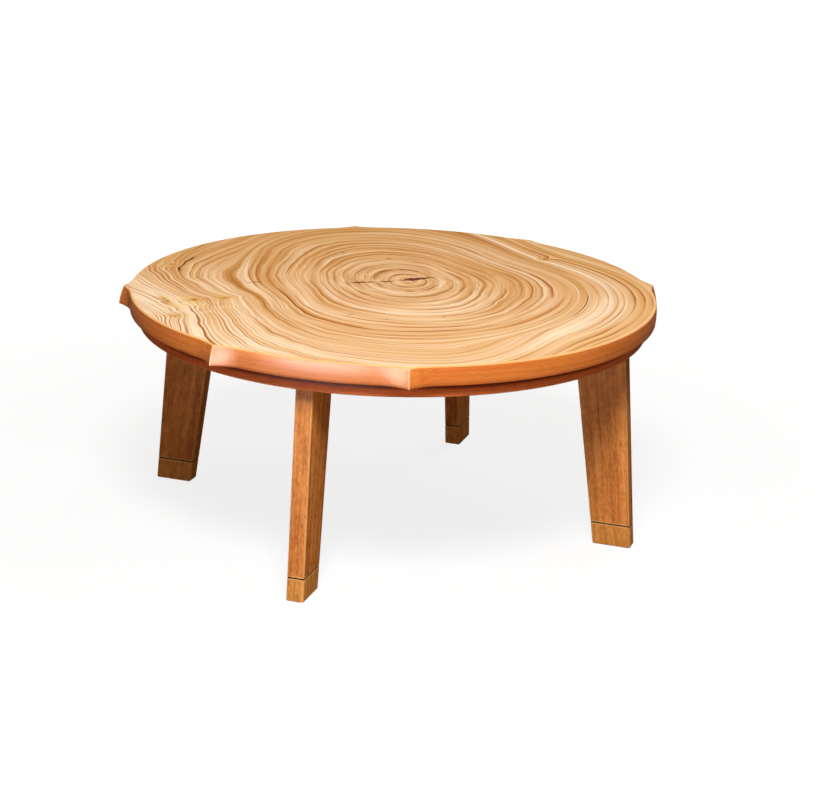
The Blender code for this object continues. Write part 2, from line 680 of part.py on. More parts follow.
def make_heating_tube():
    """A quartz tube bent to a U under the reflector, in two end holders and a clip at the bend."""
    level = REFLECTOR_PLATE - TUBE_DROP
    half = TUBE_SPACING / 2
    end_y = TUBE_EDGE - PLATE_HALF
    bend_y = PLATE_HALF - TUBE_EDGE - BRACKET_WIDTH / 2 - half
    bend = [polar(half, 180 * index / TUBE_BEND_STEPS) for index in range(TUBE_BEND_STEPS + 1)]
    route = [(half, end_y)] + [(x, y + bend_y) for x, y in bend] + [(-half, end_y)]
    curve = bpy.data.curves.new("heating_tube", "CURVE")
    curve.dimensions = "3D"
    curve.bevel_depth = TUBE_DIAMETER / 2
    curve.bevel_resolution = TUBE_SIDES
    curve.use_fill_caps = True
    spline = curve.splines.new("POLY")
    spline.points.add(len(route) - 1)
    for point, (x, y) in zip(spline.points, route):
        point.co = (x, y, 0, 1)
    tube = mesh_object("heating_tube", curve_mesh(curve), (0, 0, level), smooth=True)
    keep(tube, QUARTZ)

    bracket_top = REFLECTOR_PLATE - GAP
    bracket_bottom = level - TUBE_DIAMETER / 2 - GAP - BRACKET_BELOW_TUBE
    height = bracket_top - bracket_bottom
    middle = (bracket_top + bracket_bottom) / 2
    bore_length = HOLDER_THICKNESS + 2 * CUTTER_MARGIN
    bore_diameter = TUBE_DIAMETER + 2 * GAP
    brackets = (
        ("tube_holder_right", half, end_y + HOLDER_THICKNESS / 2, HOLDER_THICKNESS, 0),
        ("tube_holder_left", -half, end_y + HOLDER_THICKNESS / 2, HOLDER_THICKNESS, 0),
        ("tube_clip", 0, bend_y + half, CLIP_THICKNESS, 90))
    for name, x, y, thickness, bearing in brackets:
        place = axis_empty(f"{name}_place", (x, y, 0), bearing)
        bracket = box(name, (BRACKET_WIDTH, thickness, height), (0, 0, middle))
        bore = rod(f"{name}_bore", bore_diameter, -bore_length / 2, bore_length / 2, sides=BORE_SIDES)
        bore.location = (0, 0, level)
        bore.rotation_euler = (math.radians(90), 0, 0)
        combine(bracket, keep_cutter(bore, place))
        keep(bracket, CERAMIC, place)


def make_fan():
    """A motor under the reflector's plate, and the fan wheel whose shaft runs up into it."""
    motor_top = REFLECTOR_PLATE - GAP
    motor_bottom = motor_top - MOTOR_HEIGHT
    motor = rod("fan_motor", MOTOR_DIAMETER, motor_bottom, motor_top, sides=MOTOR_SIDES)
    shaft_bore = rod(
        "shaft_bore", SHAFT_DIAMETER + 2 * GAP, motor_bottom - CUTTER_MARGIN,
        motor_bottom + SHAFT_IN_MOTOR + GAP)
    combine(motor, keep_cutter(shaft_bore))
    keep(motor, MOTOR_SHELL)

    axis = axis_empty("fan_axis", (0, 0, motor_bottom))
    hub_top = -RUNNING_GAP
    hub_bottom = hub_top - FAN_HEIGHT
    profile = (
        (0, SHAFT_IN_MOTOR), (SHAFT_DIAMETER / 2, SHAFT_IN_MOTOR), (SHAFT_DIAMETER / 2, hub_top),
        (HUB_DIAMETER / 2, hub_top), (HUB_DIAMETER / 2, hub_bottom), (0, hub_bottom))
    wheel = turned("fan_wheel", profile, HUB_SIDES, (0, 0, 0))
    blade_length = (FAN_DIAMETER - HUB_DIAMETER) / 2 + BLADE_THICKNESS
    blade_middle = FAN_DIAMETER / 2 - blade_length / 2
    for number in range(BLADE_COUNT):
        bearing = 360 * number / BLADE_COUNT
        place = (*polar(blade_middle, bearing), (hub_top + hub_bottom) / 2)
        blade = box(f"blade_{number}", (blade_length, BLADE_WIDTH, BLADE_THICKNESS), place)
        blade.rotation_euler = (math.radians(BLADE_PITCH), 0, math.radians(bearing))
        combine(wheel, keep_cutter(blade, axis), "UNION")
    keep(wheel, ALUMINIUM, axis)


def make_cutout():
    """A disc thermal cut-out on the reflector's underside."""
    top = REFLECTOR_PLATE - GAP
    cutout = rod("thermal_cutout", CUTOUT_DIAMETER, top - CUTOUT_HEIGHT, top, (CUTOUT_X, CUTOUT_Y))
    keep(cutout, CERAMIC)


def make_inlet():
    """A socket for the heater's lead under the guard's flange, with two pins in its recess."""
    top = GUARD_UNDERSIDE - GAP
    middle = top - INLET_HEIGHT / 2
    mouth = FLANGE_HALF
    socket = box(
        "inlet_socket", (INLET_DEPTH, INLET_WIDTH, INLET_HEIGHT), (mouth - INLET_DEPTH / 2, 0, middle))
    recess_length = INLET_RECESS + CUTTER_MARGIN
    size = (recess_length, INLET_WIDTH - 2 * INLET_WALL, INLET_HEIGHT - 2 * INLET_WALL)
    recess = box("inlet_recess", size, (mouth + CUTTER_MARGIN - recess_length / 2, 0, middle))
    pin_start = mouth - INLET_RECESS - CUTTER_MARGIN
    pin_end = mouth - PIN_SETBACK
    pin_half = (pin_end - pin_start) / 2
    for name, side in (("pin_a", 1), ("pin_b", -1)):
        pin = rod(name, PIN_DIAMETER, -pin_half, pin_half, sides=FINE_ROD_SIDES)
        pin.location = ((pin_start + pin_end) / 2, side * PIN_SPACING / 2, middle)
        pin.rotation_euler = (0, math.radians(90), 0)
        combine(recess, keep_cutter(pin))
    combine(socket, keep_cutter(recess))
    keep(socket, BLACK_PLASTIC)


make_top()
make_apron()
heater_holes = make_heater_screws()
make_lattice(heater_holes)
make_pads()
for leg_corner, leg_bearing in LEG_BEARINGS.items():
    make_leg(leg_corner, leg_bearing)
make_heater_sheets(heater_holes["back"] + heater_holes["front"])
make_guard_grille()
make_heating_tube()
make_fan()
make_cutout()
make_inlet()
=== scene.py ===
import math

import bmesh
import bpy
import numpy as np
from mathutils import Matrix, Vector


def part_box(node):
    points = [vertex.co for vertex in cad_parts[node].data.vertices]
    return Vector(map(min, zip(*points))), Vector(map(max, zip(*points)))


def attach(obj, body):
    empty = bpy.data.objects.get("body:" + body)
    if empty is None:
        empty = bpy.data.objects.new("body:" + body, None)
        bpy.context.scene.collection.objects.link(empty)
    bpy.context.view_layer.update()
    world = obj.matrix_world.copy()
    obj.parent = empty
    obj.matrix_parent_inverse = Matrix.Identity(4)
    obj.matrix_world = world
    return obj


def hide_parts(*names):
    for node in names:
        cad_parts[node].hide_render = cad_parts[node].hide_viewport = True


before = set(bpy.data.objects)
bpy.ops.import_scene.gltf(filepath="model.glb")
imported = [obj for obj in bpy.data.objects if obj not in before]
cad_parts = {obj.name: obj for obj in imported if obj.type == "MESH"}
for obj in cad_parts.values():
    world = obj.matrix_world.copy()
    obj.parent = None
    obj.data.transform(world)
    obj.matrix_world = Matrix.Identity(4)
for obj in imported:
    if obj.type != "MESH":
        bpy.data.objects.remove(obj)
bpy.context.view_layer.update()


# Lattice bars and corner gussets: four planed softwood bars, half-lapped where they cross round the
# heater's opening, and four plates glued into the corners to tie the apron to the bars and take the legs.
# They keep their CAD solids, in pale unfinished timber with rings, fibres, pores and slow colour drift.

def srgb(red, green, blue):
    """A display colour from 0 to 255 as the linear colour that a shader takes."""
    share = np.array((red, green, blue)) / 255
    linear = np.where(share <= 0.04045, share / 12.92, ((share + 0.055) / 1.055) ** 2.4)
    return (*linear.tolist(), 1.0)


class Shade:
    """One socket of a material. Arithmetic on values adds Math nodes, and node() adds any other node."""

    def __init__(self, socket):
        self.socket = socket

    def node(self, kind, settings, sockets, output=0):
        """Add a node: first its settings, a ramp's stops among them, then its sockets' values or links."""
        tree = self.socket.id_data
        made = tree.nodes.new(kind)
        for name, value in settings.items():
            if name == "stops":
                ramp = made.color_ramp.elements
                for index, (position, colour) in enumerate(value):
                    stop = ramp[index] if index < 2 else ramp.new(position)
                    stop.position = position
                    stop.color = colour
            else:
                setattr(made, name, value)
        shown = [socket for socket in made.inputs if socket.enabled]
        for key, value in sockets.items():
            target = shown[key] if isinstance(key, int) else next(s for s in shown if s.name == key)
            if isinstance(value, Shade):
                tree.links.new(value.socket, target)
            else:
                target.default_value = value
        return Shade([socket for socket in made.outputs if socket.enabled][output])

    def math(self, operation, *others):
        """A Math node on this value and others."""
        return self.node("ShaderNodeMath", {"operation": operation}, dict(enumerate((self, *others))))

    def __add__(self, other):
        return self.math("ADD", other)

    def __sub__(self, other):
        return self.math("SUBTRACT", other)

    def __rsub__(self, other):
        return self.node("ShaderNodeMath", {"operation": "SUBTRACT"}, {0: other, 1: self})

    def __mul__(self, other):
        return self.math("MULTIPLY", other)

    def __truediv__(self, other):
        return self.math("DIVIDE", other)

    def __pow__(self, other):
        return self.math("POWER", other)

    def __abs__(self):
        return self.math("ABSOLUTE")

    __radd__ = __add__
    __rmul__ = __mul__

    def part(self, axis):
        """One coordinate of this vector: 0, 1 or 2."""
        return self.node("ShaderNodeSeparateXYZ", {}, {0: self}, axis)

    def stretch(self, x, y, z):
        """This vector times a factor on each axis."""
        return self.node("ShaderNodeVectorMath", {"operation": "MULTIPLY"}, {0: self, 1: (x, y, z)})

    def noise(self, scale, detail=2.0, roughness=0.5):
        """Noise about 0.5 at this place."""
        sockets = {"Vector": self, "Scale": scale, "Detail": detail, "Roughness": roughness}
        return self.node("ShaderNodeTexNoise", {}, sockets)

    def line_noise(self, scale, detail=1.0):
        """Noise about 0.5 along this one number."""
        settings = {"noise_dimensions": "1D"}
        return self.node("ShaderNodeTexNoise", settings, {"W": self, "Scale": scale, "Detail": detail})

    def between(self, low, high):
        """0 up to low and 1 from high, eased between them."""
        settings = {"interpolation_type": "SMOOTHSTEP"}
        return self.node("ShaderNodeMapRange", settings, {"Value": self, "From Min": low, "From Max": high})

    def within(self, low, full, ebb, high):
        """1 from full to ebb and 0 outside low and high, eased between them."""
        return self.between(low, full) * (1 - self.between(ebb, high))

    def blend(self, first, second):
        """From the first colour, where this value is 0, to the second, where it is 1."""
        return self.node("ShaderNodeMix", {"data_type": "RGBA"}, {"Factor": self, "A": first, "B": second})


def new_finish(name, sockets):
    """A Principled material with the sockets that are the same all over, its shader node and the place on
    the piece: object coordinates, in metres."""
    finish = bpy.data.materials.new(name)
    finish.use_nodes = True
    nodes = finish.node_tree.nodes
    shader = nodes["Principled BSDF"]
    for socket, value in sockets.items():
        shader.inputs[socket].default_value = value
    return finish, shader, Shade(nodes.new("ShaderNodeTexCoord").outputs["Object"])


def feed(shader, height, depth, **fields):
    """Link values and colours into a shader's sockets, with a bump of this height, depth metres deep."""
    bump = height.node("ShaderNodeBump", {}, {"Strength": 1.0, "Distance": depth, "Height": height})
    links = shader.id_data.links
    links.new(bump.socket, shader.inputs["Normal"])
    for field, value in fields.items():
        links.new(value.socket, shader.inputs[field.replace("_", " ").title()])


def timber(shader, grain, early, late, pore, ring, roughness, bump, fleck=0.0):
    """Sawn wood. grain is metres across, through and along the fibres. Rings are noise on the distance from
    a pith beside the board; streaks, fibres and pores are noise drawn out along the grain, flecks are short
    blotches, and pores sink and dull it. Gives the colour that it links."""
    drift = grain.stretch(1, 1, 0.25).noise(9, 2)
    across = grain.part(0) + 0.021 + (drift - 0.5) * 0.030
    through = grain.part(1) + 0.034 + (grain.stretch(1, 1, 0.3).noise(5, 1) - 0.5) * 0.024
    rings = ((across * across + through * through) ** 0.5).line_noise(1 / ring, 2)
    streaks = grain.stretch(170, 170, 5).noise(1, 3, 0.6)
    fibres = grain.stretch(900, 900, 28).noise(1, 2)
    flecks = grain.stretch(260, 260, 110).noise(1, 3, 0.65) * 0.55
    flecks = flecks + grain.stretch(95, 95, 48).noise(1, 2, 0.6) * 0.45
    pores = grain.stretch(1500, 1500, 85).noise(1, 1).between(0.60, 0.72)
    tone = rings * 0.55 + streaks * 0.85 + fibres * 0.45 + drift * 0.35 + flecks * fleck
    tone = tone.between(0.72 + fleck / 2, 1.48 + fleck / 2)
    colour = (pores * 0.7).blend(tone.blend(late, early), pore)
    feed(
        shader, fibres * 0.35 + streaks * 0.35 - pores * 0.9, bump, base_color=colour,
        roughness=roughness + (streaks - 0.5) * 0.16 + pores * 0.18)
    return colour


def recolour(shader, colour):
    """Link another colour into a shader in place of its own."""
    shader.id_data.links.new(colour.socket, shader.inputs["Base Color"])


def paint(finish, *nodes):
    """Give CAD nodes a finish."""
    for node in nodes:
        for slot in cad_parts[node].material_slots:
            slot.material = finish


CORNERS = {"front": 225.0, "right": -45.0, "back": 45.0, "left": 135.0}
for finish_name, bearing, nodes in (
        ("bars_along_x", 0, ("lattice_front", "lattice_back")),
        ("bars_along_y", 90, ("lattice_left", "lattice_right")),
        ("corner_plates", 45, [f"gusset_{corner}" for corner in CORNERS])):
    pine, shader, place = new_finish(finish_name, {"Specular IOR Level": 0.35})
    lying = {"Vector": place, "Rotation": (0, math.radians(90), math.radians(bearing))}
    grain = place.node("ShaderNodeMapping", {"vector_type": "TEXTURE"}, lying)
    timber(
        shader, grain, srgb(226, 194, 146), srgb(186, 142, 92), srgb(142, 98, 58), ring=0.0075,
        roughness=0.62, bump=0.00035)
    paint(pine, *nodes)


# Apron: the dark band under the top, four bent arcs of stained hardwood that meet over the legs.
# Each is glued and screwed to the bars' ends and the gussets; its arrises are eased by hand. Painted shade
# darkens the recess under the top, where its overhang casts a shadow, and the lower arris is paler, worn
# thin and also painted as a highlight.

APRON_RADIUS = 0.4169
APRON_THICKNESS = 0.018
APRON_ROUNDING = 0.0022
APRON_LOW, APRON_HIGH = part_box("apron_1")[0].z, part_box("apron_1")[1].z
APRON_JOINT = 0.02
PAINTED_SHADE_START, PAINTED_SHADE_FULL = APRON_LOW + 0.0085, APRON_LOW + 0.0165
THIN_LACQUER = {"Specular IOR Level": 0.0, "Coat Weight": 0.012, "Coat Roughness": 0.4}


def rounded_rectangle(width, height, radius, corner_steps=6):
    """Points round a rectangle about its middle: each corner is a quarter circle of the radius."""
    turns = (np.linspace(0, np.pi / 2, corner_steps) + np.arange(4)[:, None] * np.pi / 2).ravel()
    side_x = np.repeat((1, -1, -1, 1), corner_steps)
    side_y = np.repeat((1, 1, -1, -1), corner_steps)
    x = side_x * (width / 2 - radius) + radius * np.cos(turns)
    y = side_y * (height / 2 - radius) + radius * np.sin(turns)
    return x, y


def lofted(shells):
    """Points of shells, each a stack of closed sections, and their faces: quads between neighbouring sections
    and a flat end on each shell's first and last."""
    faces, start = [], 0
    for shell in shells:
        rows, columns = shell.shape[:2]
        number = start + np.arange(rows * columns).reshape(rows, columns)
        beside = np.roll(number, -1, axis=1)
        quads = np.stack((number[:-1], beside[:-1], beside[1:], number[1:]), -1)
        faces += quads.reshape(-1, 4).tolist() + [number[0].tolist(), number[-1].tolist()]
        start += rows * columns
    return np.concatenate([shell.reshape(-1, 3) for shell in shells]), faces


def add_object(name, data):
    """A new object in the scene."""
    made = bpy.data.objects.new(name, data)
    bpy.context.scene.collection.objects.link(made)
    return made


def make_piece(name, shells, finish, body, nodes=(), marks=None, sharp=35):
    """A mesh object from lofted shells, with doubles merged, faces turned outward and soft edges smooth.
    It carries marks at its points, rides on a body and stands for CAD nodes."""
    points, faces = lofted(shells)
    mesh = bpy.data.meshes.new(name)
    mesh.from_pydata(points.tolist(), [], faces)
    for mark, values in (marks or {}).items():
        vector = values.shape[-1] == 3
        layer = mesh.attributes.new(mark, "FLOAT_VECTOR" if vector else "FLOAT", "POINT")
        layer.data.foreach_set("vector" if vector else "value", values.astype(np.float32).ravel())
    shell = bmesh.new()
    shell.from_mesh(mesh)
    bmesh.ops.remove_doubles(shell, verts=shell.verts, dist=1e-6)
    bmesh.ops.recalc_face_normals(shell, faces=shell.faces)
    shell.to_mesh(mesh)
    shell.free()
    mesh.shade_smooth()
    mesh.set_sharp_from_angle(angle=math.radians(sharp))
    mesh.materials.append(finish)
    made = add_object(name, mesh)
    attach(made, body)
    if nodes:
        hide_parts(*nodes)


def mark_on(shader, mark, output="Vector"):
    """A mark that a piece's mesh carries at its points."""
    attribute = shader.id_data.nodes.new("ShaderNodeAttribute")
    attribute.attribute_name = mark
    return Shade(attribute.outputs[output])


def vectors(*parts):
    """Vectors from their parts, each spread to the same shape."""
    return np.stack(np.broadcast_arrays(*parts), -1)


def around(radius, bearing, level):
    """Points by radius, bearing in degrees and level."""
    turn = np.radians(bearing)
    return vectors(radius * np.cos(turn), radius * np.sin(turn), level)


def apron_arc(start):
    """A rounded rectangle carried round a quarter of a circle: its points and their grain."""
    x, y = rounded_rectangle(APRON_THICKNESS, APRON_HIGH - APRON_LOW, APRON_ROUNDING)
    bearing = np.linspace(start + APRON_JOINT, start + 90 - APRON_JOINT, 61)[:, None]
    radius = APRON_RADIUS - APRON_THICKNESS / 2 + x
    points = around(radius, bearing, (APRON_LOW + APRON_HIGH) / 2 + y)
    grain = vectors(y, x + start / 50, APRON_RADIUS * np.radians(bearing))
    # How far each point is worn pale and also painted as highlit: only round the lower outer arris.
    worn_and_highlit = np.concatenate((np.zeros(18), (0.0, 0.5, 0.9, 1.0, 0.75, 0.35)))
    return points, grain, np.broadcast_to(worn_and_highlit, points.shape[:2])


apron_stain, shader, place = new_finish("apron_stain", THIN_LACQUER)
apron_colour = timber(
    shader, mark_on(shader, "grain"), srgb(250, 132, 64), srgb(226, 98, 40), srgb(146, 58, 22), ring=0.006,
    roughness=0.45, bump=0.0002)
# Paler along the lower arris: worn stain, and also a painted highlight.
apron_colour = (mark_on(shader, "worn_and_highlit", "Fac") * 0.8).blend(apron_colour, srgb(240, 164, 112))
# Painted shade: darker towards the apron's upper edge, in the recess that the top's overhang shadows.
recess_painted_shade = place.part(2).between(PAINTED_SHADE_START, PAINTED_SHADE_FULL)
recolour(shader, (recess_painted_shade * 0.85).blend(apron_colour, srgb(72, 26, 12)))
for number in range(4):
    arc_points, arc_grain, arc_worn_and_highlit = apron_arc(90 * number - 45)
    make_piece(
        f"apron_arc_{number + 1}", [arc_points], apron_stain, "frame", [f"apron_{number + 1}"],
        {"grain": arc_grain, "worn_and_highlit": arc_worn_and_highlit})


# Legs: four flat tapered fins of brown-stained hardwood, set radially and splayed outward, their edges
# rounded over. Each is bored above for its zinc-plated bolt, which pulls it up into the gusset, and
# bored below for the peg of its extension foot.

LEG_THICKNESS = 0.0280
LEG_ROUNDING = 0.0026
LEG_END_ROUNDING = 0.0014
LEG_END_ROW = 0.004
LEG_SPLAY = 0.0283
OUTER_AT_FLOOR = 0.4260
OUTER_LEAN = LEG_SPLAY / APRON_LOW
WIDTH_AT_FLOOR = 0.0632
WIDTH_AT_APRON = 0.0845
WIDTH_GAIN = (WIDTH_AT_APRON - WIDTH_AT_FLOOR) / APRON_LOW
LEG_LOW, LEG_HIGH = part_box("leg_front")[0].z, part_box("leg_front")[1].z
BOLT_BORE = 0.0043
BOLT_DEPTH = 0.0353
PEG_BORE = 0.0053
PEG_IN_LEG = 0.0243


def leg_width(level):
    """Width of a leg across its flat side at a level: it grows evenly upward."""
    return WIDTH_AT_FLOOR + WIDTH_GAIN * level


def leg_middle(level):
    """Radius of the middle of a leg at a level: half a width in from its leaning outer edge."""
    return OUTER_AT_FLOOR - OUTER_LEAN * level - leg_width(level) / 2


def bored(level, depth, radius, bore):
    """Two circles on an upright axis at a radius: a bore's mouth and its end, depth away."""
    x, y = rounded_rectangle(2 * bore, 2 * bore, bore)
    return vectors(radius + x, y, np.array(((level,), (level + depth,))))


def fin(low, high):
    """A stretch of a leg between two levels: rounded rectangles that follow the taper and draw in at both
    ends along a quarter circle. Gives radius, distance to the side and level of each point."""
    ease = np.linspace(0, np.pi / 2, 5)
    rise = LEG_END_ROUNDING * (1 - np.cos(ease))
    draw = LEG_END_ROUNDING * (1 - np.sin(ease))
    between_ends = (low + LEG_END_ROW, *np.linspace(low, high, 9)[1:-1], high - LEG_END_ROW)
    level = np.concatenate((low + rise, between_ends, (high - rise)[::-1]))[:, None]
    inset = np.concatenate((draw, np.zeros(len(between_ends)), draw[::-1]))[:, None]
    x, y = rounded_rectangle(leg_width(level) - 2 * inset, LEG_THICKNESS - 2 * inset, LEG_ROUNDING)
    return vectors(leg_middle(level) + x, y, level)


def stood_at(bearing, local, variety):
    """Points of a fin at its bearing, and their grain: across, through and along the leg."""
    turn = math.radians(bearing)
    radius, side, level = np.moveaxis(local, -1, 0)
    x = radius * math.cos(turn) - side * math.sin(turn)
    y = radius * math.sin(turn) + side * math.cos(turn)
    grain = vectors(radius - leg_middle(level), side + 0.11 * variety, level + 0.7 * variety)
    return vectors(x, y, level), grain


def fin_wear_and_highlights(level, joint):
    """How far a fin's points are rubbed pale, along its rounded arrises and beside the joint between leg and
    foot, a paleness that also paints the highlights on those edges, and how far they are dark, within an
    end's rounding of that joint."""
    away = np.abs(level - joint) / LEG_END_ROUNDING
    dark = np.clip(1.5 - 1.5 * away, 0, 1)
    # Rubbed pale: wear on the arrises and beside the joint, and also a painted highlight on those edges.
    rubbed_and_highlit = np.maximum(np.tile(np.sin(np.linspace(0, np.pi, 6)), 4), np.clip(1.6 - np.abs(away - 1), 0, 1))
    return {"rubbed_and_highlit": rubbed_and_highlit * (1 - dark), "dark": dark}


def stain(name, early, late, pore):
    """Stained and lacquered hardwood with short flecks, rubbed pale on its arrises, which also paints their
    highlights, and dark in its joint.
    """
    finish, shader, _ = new_finish(name, THIN_LACQUER)
    colour = timber(
        shader, mark_on(shader, "grain"), early, late, pore, ring=0.007, roughness=0.46, bump=0.0003,
        fleck=1.1)
    # Pale on the arrises and beside the joint: rubbed wear, and also a painted highlight on those edges.
    colour = (mark_on(shader, "rubbed_and_highlit", "Fac") * 0.7).blend(colour, srgb(246, 190, 122))
    recolour(shader, mark_on(shader, "dark", "Fac").blend(colour, srgb(54, 20, 6)))
    return finish


PEG_RADIUS = leg_middle(LEG_LOW)
leg_stain = stain("leg_stain", srgb(244, 161, 84), srgb(184, 101, 40), srgb(114, 52, 16))
for variety, (corner, bearing) in enumerate(CORNERS.items()):
    leg_local = np.concatenate((
        bored(LEG_LOW, PEG_IN_LEG, PEG_RADIUS, PEG_BORE)[::-1], fin(LEG_LOW, LEG_HIGH),
        bored(LEG_HIGH, -BOLT_DEPTH, leg_middle(LEG_HIGH), BOLT_BORE)))
    leg_points, leg_grain = stood_at(bearing, leg_local, variety)
    make_piece(
        f"fin_leg_{corner}", [leg_points], leg_stain, "frame", [f"leg_{corner}"],
        {"grain": leg_grain, **fin_wear_and_highlights(leg_local[..., 2], LEG_LOW)})

SCREW_THREAD = 5000
zinc, shader, place = new_finish("zinc_plate", {"Metallic": 1.0})
spangle = place.noise(420, 3)
thread = (place.part(2) * SCREW_THREAD).math("SINE")
feed(
    shader, thread * 0.4 + spangle * 0.3, 0.00012,
    base_color=spangle.blend(srgb(150, 152, 158), srgb(206, 206, 204)),
    roughness=place.noise(90, 2) * 0.3 + 0.2)
paint(zinc, *[f"leg_bolt_{corner}" for corner in CORNERS])


# Extension feet: the lowest stretch of each fin, a separate block that pulls off on a beech peg to lower
# the table. They are cut from the same stained wood, a little lighter, and rubbed pale along their arrises
# and beside the joint, a paleness that also stands for painted highlights there; the eased edges leave a
# dark line at the joint.

FOOT_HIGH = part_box("foot_front")[1].z
PEG_IN_FOOT = 0.0203
foot_stain = stain("foot_stain", srgb(245, 172, 90), srgb(198, 121, 51), srgb(126, 66, 24))
for variety, (corner, bearing) in enumerate(CORNERS.items()):
    foot_local = np.concatenate((fin(0, FOOT_HIGH), bored(FOOT_HIGH, -PEG_IN_FOOT, PEG_RADIUS, PEG_BORE)))
    foot_points, foot_grain = stood_at(bearing, foot_local, variety + 0.3)
    make_piece(
        f"fin_foot_{corner}", [foot_points], foot_stain, f"{corner}_foot", [f"foot_{corner}"],
        {"grain": foot_grain, **fin_wear_and_highlights(foot_local[..., 2], FOOT_HIGH)})

beech, shader, place = new_finish("peg_beech", {"Specular IOR Level": 0.35})
timber(
    shader, place, srgb(226, 196, 154), srgb(196, 158, 112), srgb(160, 116, 74), ring=0.003,
    roughness=0.6, bump=0.0002)
paint(beech, *[f"foot_peg_{corner}" for corner in CORNERS])


# Rest pads: four moulded rubber discs pinned to the crossings of the lattice, which carry the loose top
# and keep it from sliding.

PAD_RADIUS = 0.009
PAD_ROUNDING = 0.0007
PAD_DISH = 0.0006


def turned(profile, steps=48):
    """A profile of radius and level turned about +Z: a closed section of points at each of its steps."""
    radius, level = np.array(profile, float).T[:, :, None]
    return around(radius, np.arange(steps) * 360 / steps, level)


def seat_of(node):
    """Middle of a node's box in plan, at level 0."""
    low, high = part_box(node)
    return np.array(((low.x + high.x) / 2, (low.y + high.y) / 2, 0))


rubber, shader, place = new_finish("pad_rubber", {"Specular IOR Level": 0.3})
dust = place.noise(600, 3)
feed(
    shader, dust, 0.00015, base_color=dust.between(0.35, 0.8).blend(srgb(30, 29, 28), srgb(62, 59, 55)),
    roughness=place.noise(140, 2) * 0.2 + 0.72)
pad_low, pad_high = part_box("rest_pad_front")[0].z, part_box("rest_pad_front")[1].z
ease = np.linspace(0, np.pi / 2, 5)
rim = PAD_RADIUS - PAD_ROUNDING * (1 - np.sin(ease))
drop = PAD_ROUNDING * (1 - np.cos(ease))
pad_profile = [
    *zip(rim, pad_low + drop), *zip(rim[::-1], (pad_high - drop)[::-1]), (0.0052, pad_high),
    (0.0046, pad_high - PAD_DISH), (0.0, pad_high - PAD_DISH)]
for corner in CORNERS:
    pad_points = turned(pad_profile) + seat_of(f"rest_pad_{corner}")
    make_piece(f"pad_{corner}", [pad_points], rubber, "frame", [f"rest_pad_{corner}"])


# Heater pan and reflector: a galvanised housing pressed from one sheet, hung in the lattice's opening by
# its flange, and a bright rolled reflector under it that throws the heat down.

galvanised, shader, place = new_finish("galvanised_sheet", {"Metallic": 1.0})
crystal = place.node("ShaderNodeTexVoronoi", {}, {"Vector": place, "Scale": 85.0}, 1).part(0)
scuff = place.stretch(30, 300, 300).noise(1, 2)
feed(
    shader, crystal * 0.2 + scuff * 0.3, 0.0001,
    base_color=(crystal * 0.8 + scuff * 0.3).blend(srgb(140, 144, 148), srgb(190, 193, 196)),
    roughness=crystal * 0.18 + scuff * 0.15 + 0.22)
paint(galvanised, "heater_housing")

mirror, shader, place = new_finish("rolled_reflector", {"Metallic": 1.0})
rolling = place.stretch(12, 900, 900).noise(1, 3)
bloom = place.noise(14, 3)
feed(
    shader, rolling, 0.00004,
    base_color=bloom.between(0.3, 0.8).blend(srgb(206, 208, 210), srgb(232, 230, 224)),
    roughness=rolling * 0.16 + bloom * 0.12 + 0.06)
paint(mirror, "heater_reflector")


# Heating tube: a fused quartz tube bent to a U, with a resistance coil inside it. Two ceramic holders grip
# its ends and a ceramic clip holds the bend; a disc cut-out beside it opens the circuit if it overheats.

TUBE_RADIUS = 0.005
TUBE_LEVEL = 0.3194
TUBE_HALF_SPACING = 0.075
TUBE_END = -0.107
TUBE_BEND = 0.022
COIL_RADIUS = 0.0030
COIL_WIRE = 0.00055
COIL_PITCH = 0.0042
COIL_START = 0.03
COIL_BARE = 0.03
COIL_STEPS = 9


def tube_line(share):
    """The tube's middle line by share of its length, a straight run, half a circle and a straight run back,
    and that whole length."""
    run = TUBE_BEND - TUBE_END
    arc = np.pi * TUBE_HALF_SPACING
    length = share * (2 * run + arc)
    turn = np.clip((length - run) / TUBE_HALF_SPACING, 0, np.pi)
    back = np.maximum(length - run - arc, 0)
    x = TUBE_HALF_SPACING * np.cos(turn)
    y = np.where(length < run, TUBE_END + length, TUBE_BEND + TUBE_HALF_SPACING * np.sin(turn) - back)
    return vectors(x, y, TUBE_LEVEL), 2 * run + arc


def unit(vectors):
    """Vectors of length 1."""
    return vectors / np.linalg.norm(vectors, axis=-1, keepdims=True)


def wire(line, radius, reference, sides=12):
    """A circle carried along a line, square to it at each point and turned by the reference there."""
    ahead = unit(np.gradient(line, axis=0))
    across = unit(np.cross(ahead, reference))
    upward = np.cross(across, ahead)
    turn = np.arange(sides)[:, None] * 2 * np.pi / sides
    radius = np.broadcast_to(radius, len(line))[:, None, None]
    return line[:, None] + radius * (np.cos(turn) * across[:, None] + np.sin(turn) * upward[:, None])


quartz, shader, place = new_finish(
    "quartz_tube", {"Transmission Weight": 0.9, "IOR": 1.46, "Coat Weight": 0.3, "Coat Roughness": 0.05})
haze = place.noise(160, 3)
feed(
    shader, haze, 0.00003, base_color=haze.between(0.3, 0.8).blend(srgb(246, 232, 222), srgb(232, 206, 190)),
    roughness=haze * 0.1 + 0.02)
tube_points = wire(tube_line(np.linspace(0, 1, 121))[0], TUBE_RADIUS, (0, 0, 1), 20)
make_piece("tube", [tube_points], quartz, "frame", ["heating_tube"])

